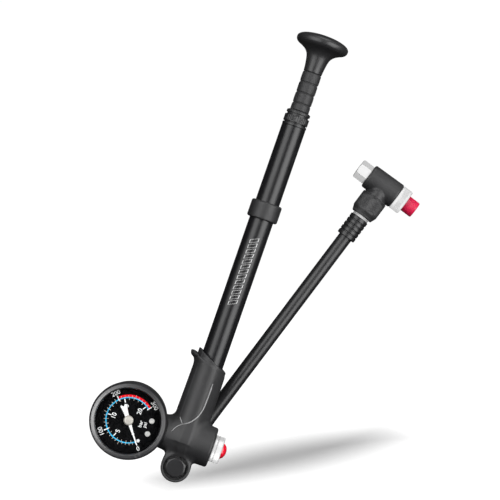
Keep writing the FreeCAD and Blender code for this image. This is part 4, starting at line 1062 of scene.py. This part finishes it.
def make_palm_knob():
    """A long neck that flares into a domed mushroom."""
    skin = [
        (5.8, 251.25), (6.12, 251.7), (6.35, 254.2), (6.75, 257.2), (7.2, 259.8), (7.85, 262.1),
        (8.9, 263.9), (10.6, 265.5), (13.0, 266.9), (15.6, 268.1), (17.0, 269.5), (17.42, 271.2),
        (17.0, 272.7), (15.4, 274.1), (12.6, 275.2), (8.6, 276.05), (4.2, 276.5), (0.0, 276.6),
    ]
    inside = [(0, 272.05), (11.55, 272.05), (11.55, 268.8), (5.02, 263.77), (5.02, 251.25)]
    outline = flowing_line(skin) + inside
    stand_in("palm_knob_turned", "palm_knob", lathe(outline, 160), UPRIGHT, KNOB_RUBBER, 50)


# ---------------------------------------------------------------- pressure gauge

START_DEG = -52.8
DEG_PER_PSI = 0.8633
DEG_PER_BAR = 12.521
PRINT_DEPTH = 0.03


def on_dial(radius, angle_deg):
    angle = math.radians(angle_deg)
    return GAUGE_X + radius * math.cos(angle), radius * math.sin(angle)


def arc_band(inner, outer, start_deg, end_deg):
    count = math.ceil(abs(end_deg - start_deg) / 3)
    points, faces = [], []
    for k in range(count + 1):
        angle = start_deg + (end_deg - start_deg) * k / count
        points += [on_dial(inner, angle), on_dial(outer, angle)]
        if k:
            faces.append([2 * k - 2, 2 * k - 1, 2 * k + 1, 2 * k])
    return points, faces


def tick(inner, outer, angle_deg, width):
    angle = math.radians(angle_deg)
    side = np.array((-math.sin(angle), math.cos(angle))) * width / 2
    a, b = np.array(on_dial(inner, angle_deg)), np.array(on_dial(outer, angle_deg))
    return [tuple(a - side), tuple(b - side), tuple(b + side), tuple(a + side)], [[0, 1, 2, 3]]


def lettering(text, size, at, baseline_deg):
    """A line of type as flat faces centred on a point, its baseline turned above +X."""
    data = bpy.data.curves.new("type", "FONT")
    data.body = text
    data.size = size
    data.offset = size * 0.009
    data.align_x = "CENTER"
    data.align_y = "CENTER"
    data.resolution_u = 4
    obj = show("type", data)
    mesh = bpy.data.meshes.new_from_object(obj.evaluated_get(bpy.context.evaluated_depsgraph_get()))
    turn = math.radians(baseline_deg)
    c, s = math.cos(turn), math.sin(turn)
    points = [(at[0] + v.co.x * c - v.co.y * s, at[1] + v.co.x * s + v.co.y * c) for v in mesh.vertices]
    faces = [list(f.vertices) for f in mesh.polygons]
    bpy.data.objects.remove(obj)
    bpy.data.curves.remove(data)
    bpy.data.meshes.remove(mesh)
    return points, faces


def printed(name, parts, material, lift=0.0):
    """Flat marks (x, z) as a thin film just in front of the dial."""
    marks, faces = join_parts(*parts)
    points = [(x, DIAL_FRONT - PRINT_DEPTH - lift, z) for x, z in marks]
    new_piece(name, "gauge_dial", (points, faces), material=material, slot="pointer_white")


def print_dial():
    """Two scales on one circle: psi outside in steps of 10, bar inside in steps of 1."""
    bold_line, fine_line = 0.6, 0.34
    red_deg, end_deg = (START_DEG - psi * DEG_PER_PSI for psi in (203, 300))
    printed("dial_blue_arc", [arc_band(14.3, 15.05, START_DEG, end_deg)], PRINT_BLUE)
    printed("dial_red_arc", [arc_band(15.15, 16.55, red_deg, end_deg)], PRINT_RED)
    fine, bold = [], []
    for psi in range(0, 301, 10):
        angle = START_DEG - psi * DEG_PER_PSI
        if psi % 100 == 0:
            bold.append(tick(13.7, 17.2, angle, bold_line))
        else:
            fine.append(tick(14.6, 17.0 if psi % 50 == 0 else 16.1, angle, fine_line))
    for bar in range(1, 21):
        angle = START_DEG - bar * DEG_PER_BAR
        if bar % 5 == 0:
            bold.append(tick(11.6, 14.0, angle, bold_line))
        else:
            fine.append(tick(13.1, 14.8, angle, fine_line))
    for psi in (0, 100, 200, 300):
        angle = START_DEG - psi * DEG_PER_PSI
        bold.append(lettering(str(psi), 4.0, on_dial(19.1, angle), angle - 90))
    for bar, radius in ((5, 9.8), (10, 9.9), (15, 8.6), (20, 9.1)):
        bold.append(lettering(str(bar), 4.1, on_dial(radius, START_DEG - bar * DEG_PER_BAR), 90))
    for word, right, up in (("bar", 8.1, 0.2), ("psi", 11.0, 0.6)):
        bold.append(lettering(word, 3.3, (GAUGE_X + right, up), 90))
    printed("dial_fine_marks", fine, PRINT_BEIGE, 0.01)
    printed("dial_marks", bold, PRINT_WHITE, 0.02)


def screws_distance(p):
    """Two cheese-head screws on the dial, their slots turned differently, and their shanks."""
    d = np.full(p.shape[:-1], 1e3)
    for z, slot_deg in ((4.35, 25), (-4.35, 70)):
        at = (GAUGE_X + 14.4, z)
        head = cylinder_distance(p, "Y", DIAL_FRONT - 0.9, DIAL_FRONT + 0.05, 1.75, at=at, fillet=0.28)
        turn = math.radians(slot_deg)
        x, w = p[..., 0] - at[0], p[..., 2] - at[1]
        across = np.abs(x * math.sin(turn) - w * math.cos(turn)) - 0.24
        slot = np.maximum(across, p[..., 1] - (DIAL_FRONT - 0.45))
        head = smooth_cut(head, slot, 0.06)
        shank = cylinder_distance(p, "Y", DIAL_FRONT - 0.2, -5.4, 0.8, at=at)
        d = np.minimum(d, np.minimum(head, shank))
    return d


def make_gauge_case():
    """The drawn cup with a sunk ring in its back, the bezel and the domed lens."""
    rear = node_box("gauge_case")[1].y
    turned(
        "gauge_case_drawn", "gauge_case",
        [
            (23.3, -11.0), (24.3, -11.0, 0.25), (24.3, rear, 1.6), (18.6, rear, 0.3),
            (18.2, rear - 0.45, 0.3), (6.0, rear - 0.45, 0.3), (5.6, rear, 0.3), (0, rear),
            (0, rear - 1), (23.3, rear - 1, 1.0),
        ],
        GAUGE, 192,
    )
    front, back = GAUGE_LOW.y, GAUGE_HIGH.y
    turned(
        "gauge_bezel_turned", "gauge_bezel",
        [
            (21.15, front + 1.2, 0.15), (21.4, front + 0.4, 0.2), (21.95, front, 0.3),
            (24.05, front + 0.55, 0.15), (24.6, front + 1.5, 0.2), (25.2, front + 2.4, 0.3),
            (25.2, back - 0.9, 0.2), (24.9, back, 0.3), (24.36, back), (24.36, front + 1.65),
            (21.15, front + 1.65),
        ],
        GAUGE, 256, material=BEZEL_BLACK,
    )
    turned(
        "gauge_lens_domed", "gauge_lens",
        [
            (0, -13.0), (12, -12.85, 20), (23.2, -12.5, 0.1), (23.8, -12.2, 0.1), (23.8, -11.05, 0.1),
            (0, -11.05),
        ],
        GAUGE, 128,
    )


def make_dial_fittings():
    """The two screws, the pin that the pointer rests on, and the pointer's hub."""
    moulded_piece(
        "dial_screws_slotted", "dial_screws", screws_distance, (0.25, 0.12), 0.4, material=PALE_NICKEL
    )
    low, high = node_box("stop_pin")
    turned(
        "stop_pin_domed", "stop_pin",
        [
            (0, low.y), (1.05, low.y, 0.45), (1.05, DIAL_FRONT), (0.6, DIAL_FRONT), (0.6, high.y),
            (0, high.y),
        ],
        axis_frame("Y", ((low.x + high.x) / 2, 0, (low.z + high.z) / 2)), 48,
    )
    base = node_box("pointer_hub")[1].y
    turned(
        "pointer_hub_turned", "pointer_hub",
        [
            (0, base - 1.3), (0.55, base - 1.3, 0.1), (0.6, base - 1.18, 0.05), (0.9, base - 1.18, 0.1),
            (2.5, base - 1.12, 0.4), (3.2, base - 0.5, 0.3), (3.2, base, 0.1), (0.65, base),
            (0.65, base - 0.4), (0, base - 0.4),
        ],
        GAUGE, 96, material=HUB_METAL,
    )


def make_pointer():
    """The pointer at rest on its stop: a stepped needle and a broad, notched tail."""
    front = node_box("gauge_pointer")[0].y
    half = [
        (16.8, 0.0), (15.9, 0.42), (10.0, 0.5), (9.5, 0.8), (8.7, 0.62), (2.0, 1.15), (-2.0, 1.2),
        (-6.2, 1.55), (-9.9, 2.15), (-10.5, 2.0), (-10.6, 1.1), (-9.7, 0.6), (-9.5, 0.0),
    ]
    outline = half + [(x, -z) for x, z in half[-2:0:-1]]
    rest = Matrix.Translation((GAUGE_X, 0, 0)) @ Matrix.Rotation(math.radians(-START_DEG), 4, "Y")
    blade_part = extruded(outline, front, front + 0.4)
    blade = stand_in("gauge_pointer_blade", "gauge_pointer", blade_part, rest)
    bevel = blade.modifiers.new("edges", "BEVEL")
    bevel.width = 0.00006
    bevel.segments = 2


# ---------------------------------------------------------------- release valve and swivel


def make_release_valve():
    right = node_box("bleed_sleeve")[1].x + 1.1
    turned(
        "bleed_sleeve_turned", "bleed_sleeve",
        [
            (1.25, 9.5), (5.95, 9.5, 0.3), (5.95, 18.7), (8.9, 18.7, 0.4), (8.9, 20.6, 0.15),
            (8.7, 20.75), (8.7, 21.05), (8.9, 21.2, 0.15), (8.9, right, 0.7), (5.32, right, 0.3),
            (5.32, 17.5), (1.25, 17.5),
        ],
        axis_frame("X"), 128, material=SATIN_PLATE,
    )
    low, high = node_box("bleed_button")
    tip = high.x
    radius, rise, hole, roof = 5.25, 3.7, 1.22, tip - 4.4
    turns = np.linspace(0, math.pi / 2, 16)
    dome = [(radius * math.sin(a), tip - rise * (1 - math.cos(a))) for a in turns]
    outline = dome + [(radius, low.x), (4.6, low.x), (hole, low.x), (hole, roof), (0, roof)]
    stand_in("bleed_button_domed", "bleed_button", lathe(outline), axis_frame("X"))


def coil(radius, wire, length, turns, sides=10):
    """A round wire wound into a coil spring along Z, from 0 to its length."""
    steps = int(turns * 40)
    rings = []
    for k in range(steps + 1):
        angle = TAU * turns * k / steps
        height = wire + (length - 2 * wire) * k / steps
        ring = []
        for s in range(sides):
            around = TAU * s / sides
            out = radius + wire * math.cos(around)
            ring.append((out * math.cos(angle), out * math.sin(angle), height + wire * math.sin(around)))
        rings.append(ring)
    return skinned(rings)


def make_springs():
    """The two springs, each a coil on its fixed seat."""
    for node, joint, axis, radius, wire, turns, travel in (
        ("bleed_spring", "release_press", "X", 3.2, 0.35, 3.5, 1.8),
        ("check_spring", "check_lift", "Z", 1.6, 0.2, 4, 0.8),
    ):
        low, high = node_box(node)
        along = Vector((1, 0, 0)) if axis == "X" else Vector((0, 0, 1))
        seat, length = tuple(low.dot(along) * along), (high - low).dot(along)
        part = coil(radius, wire, length, turns)
        spring = stand_in(node + "_coil", node, part, axis_frame(axis, seat))
        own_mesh(spring)


def make_swivel():
    """The bolt with its chamfered hexagon head and turned shank."""
    front, rear = (corner.y for corner in node_box("swivel_bolt"))
    shank = 3.95
    outline = [(0, front), (5.6, front, 0.4), (7.2, front + 0.9), (7.2, -6.5), (shank, -6.5)]
    for floor, start, end in ((3.0, 12.6, 13.8), (3.0, 21.2, 22.4), (3.2, 24.1, 25.0)):
        outline += [(shank, start), (floor, start), (floor, end), (shank, end)]
    outline += [(shank, rear, 0.5), (0, rear)]
    turned(
        "swivel_bolt_hexagon", "swivel_bolt", outline, axis_frame("Y", (0, 0, BOLT_Z)), 144,
        shape=hexagonal(12.3), longest=0.6, sharp_deg=24,
    )


def ferrule_outline():
    """A ribbed crimp sleeve: five ribs with rounded grooves between them, its mouth up."""
    back, mouth, radius = -3.6, FERRULE_MOUTH, 6.5
    pitch = (mouth - back) / 5
    outline = [(4.72, mouth, 0.2), (4.72, -0.03), (4.63, -0.03), (4.63, back), (radius, back, 0.5)]
    for k in range(1, 5):
        middle = back + k * pitch
        outline += [
            (radius, middle - 0.6, 0.25), (radius - 0.45, middle - 0.22, 0.15),
            (radius - 0.45, middle + 0.22, 0.15), (radius, middle + 0.6, 0.25),
        ]
    return outline + [(radius, mouth, 0.45)]


# ---------------------------------------------------------------- chuck


def chuck_distance(p):
    """The elbow: a cross barrel on a short arched neck, with the bores that its insides need."""
    x, y, s = p[..., 0], p[..., 1], p[..., 2]
    axis = (0, CHUCK_HEIGHT)
    barrel = cylinder_distance(p, "X", -12.1, 10.9, 8.45, 8.85, at=axis, fillet=1.25)
    width = 6.9 + 1.3 * np.clip((23.5 - s) / 3.25, 0, 1) ** 2
    arch = np.sqrt((x / width) ** 2 + (y / 8.8) ** 2 + (np.maximum(s - 23.5, 0) / 5.0) ** 2)
    neck = np.maximum((arch - 1) * 6.4, 20.27 - s)
    d = smooth_union(barrel, neck, 1.0)
    d = np.minimum(d, cylinder_distance(p, "Z", 14.9, 26.6, 6.0, fillet=0.3))
    bores = [("Z", 14.2, 19.3, 4.45, (0, 0)), ("Z", 18, CHUCK_HEIGHT, 1.2, (0, 0))]
    for radius, start, end in (
        (5.45, -20, -5), (1.05, -6, 20), (2.4, -5.5, 2.6), (5.85, -9.65, -8.75), (6.05, 5, 20),
    ):
        bores.append(("X", start, end, radius, axis))
    return bored(d, p, bores, 0.25)


def make_hose_end():
    """The ferrule, the bright collar of the hose tail and the knurled coupling sleeve."""
    upside_down = CHUCK @ Matrix.Rotation(math.pi, 4, "X")
    ferrule = turned("chuck_ferrule_ribbed", "chuck_ferrule", ferrule_outline(), upside_down, 128)
    collar = turned(
        "hose_tail_collar", "hose_nipple",
        [
            (0.8, -10), (1.55, -10), (1.55, 0.05), (4.58, 0.05), (4.58, 3.62), (5.85, 3.62, 0.35),
            (5.85, 6.85), (3.15, 6.85), (3.15, 15.2), (4.3, 15.2), (4.3, 19.2), (0.8, 19.2),
        ],
        CHUCK, material=COLLAR_PLATE,
    )
    sleeve = turned(
        "coupling_sleeve_knurled", "coupling_sleeve",
        [
            (6.0, 5.4, 0.2), (7.35, 5.4, 0.5), (7.75, 6.4, 0.4), (8.95, 9.4, 1.0), (8.95, 19.2, 0.15),
            (8.75, 19.35), (8.75, 19.6), (8.95, 19.75, 0.1), (8.95, 20.2, 0.2), (6.05, 20.2),
            (6.05, 14.8), (3.45, 14.8), (3.45, 6.95), (6.0, 6.95),
        ],
        CHUCK, 288, knurl(72, 0.14, 9.8, 18.9), longest=0.6,
    )
    return [ferrule, collar, sleeve]


def make_valve_nut():
    """The hexagon nut: a groove for its retaining ring, a gasket's pocket and a cut thread."""
    outline = [
        (3.9, -20.5, 0.1), (4.1, -20.65, 0.1), (5.75, -20.65, 0.15), (6.72, -20.0), (6.72, -12.5),
        (6.3, -12.17, 0.1), (5.4, -12.17), (5.4, -9.6), (4.9, -9.6), (4.9, -8.8), (5.4, -8.8),
        (5.4, -7.2), (2.6, -7.2), (2.6, -13.15), (4.15, -13.15), (4.15, -14.8),
    ]
    crest, root, pitch = 3.9, 4.15, 0.9
    for k in range(6):
        z = -14.9 - pitch * k
        outline += [(crest, z), (root, z - 0.3), (root, z - 0.45), (crest, z - 0.75)]
    return turned(
        "valve_nut_hexagon", "valve_nut", outline, CHUCK_ACROSS, 144,
        hexagonal(11.6, math.radians(30)), longest=0.5, material=SATIN_PLATE, sharp_deg=24,
    )


def make_knob():
    """The bright knurled guard ring, and the fluted red knob in it."""
    ring = turned(
        "knob_ring_knurled", "knob_ring",
        [
            (5.63, 18.0, 0.2), (5.63, 8), (1.9, 8), (1.9, 5.05), (6.0, 5.05), (6.0, 10.93),
            (8.6, 10.93, 0.35), (8.6, 18.0, 0.7),
        ],
        CHUCK_ACROSS, 432, knurl(108, 0.1, 11.9, 16.9), longest=0.7, material=PALE_PLATE,
    )
    cap = turned(
        "knob_cap_fluted", "knob_cap",
        [
            (0, 25.75), (3.6, 25.75, 0.3), (4.0, 26.1, 0.2), (5.1, 26.1, 0.3), (5.55, 25.6, 0.25),
            (5.55, 12.2), (1.5, 12.2), (1.5, 16), (0, 16),
        ],
        CHUCK_ACROSS, 288, knurl(36, 0.12, 18.6, 24.9, 0.4), longest=0.7, material=CRIMSON,
    )
    return [ring, cap]


def make_chuck():
    """Every piece on the hose's far end, in the chuck's own frame. Returns what the hose carries."""
    pieces = make_hose_end()
    box = (-13.2, -10.2, 13.8), (12.0, 10.2, 39.6)
    pieces.append(moulded_piece(
        "chuck_body_moulding", "chuck_body", chuck_distance, (0.7, 0.36), 0, box, CHUCK
    ))
    pieces += [make_valve_nut(), *make_knob()]
    inside = ("valve_gasket", "nut_retainer", "actuator_pin", "pin_seal")
    return pieces + [frame["nodes"][node] for node in inside]


def soften_cad_edges():
    """The small CAD pieces that stay: their sharp edges get a fine bevel."""
    for node in frame["nodes"].values():
        if node.hide_render:
            continue
        weld = node.modifiers.new("weld", "WELD")
        weld.merge_threshold = 0.000002
        bevel = node.modifiers.new("edges", "BEVEL")
        bevel.width = 0.00008
        bevel.segments = 2
        bevel.limit_method = "ANGLE"
        bevel.angle_limit = math.radians(40)
        bevel.use_clamp_overlap = True


# ---------------------------------------------------------------- finish

set_view_transform()
make_camera()
make_housing()
make_barrel()
moulded_piece("hose_clip_moulding", "hose_clip", clip_distance, (0.8, 0.4), 1)
make_gland()
make_grip()
make_palm_knob()
make_gauge_case()
print_dial()
make_dial_fittings()
make_pointer()
make_release_valve()
make_springs()
make_swivel()
turned("base_ferrule_ribbed", "base_ferrule", ferrule_outline(), HOSE_FOOT, 128)
make_hose(make_chuck())

for name, node in frame["nodes"].items():
    node.data.materials.clear()
    node.data.materials.append(GROUND_ROD if name == "piston_rod" else MATERIALS[SLOT_OF[name]])
soften_cad_edges()

make_stage()
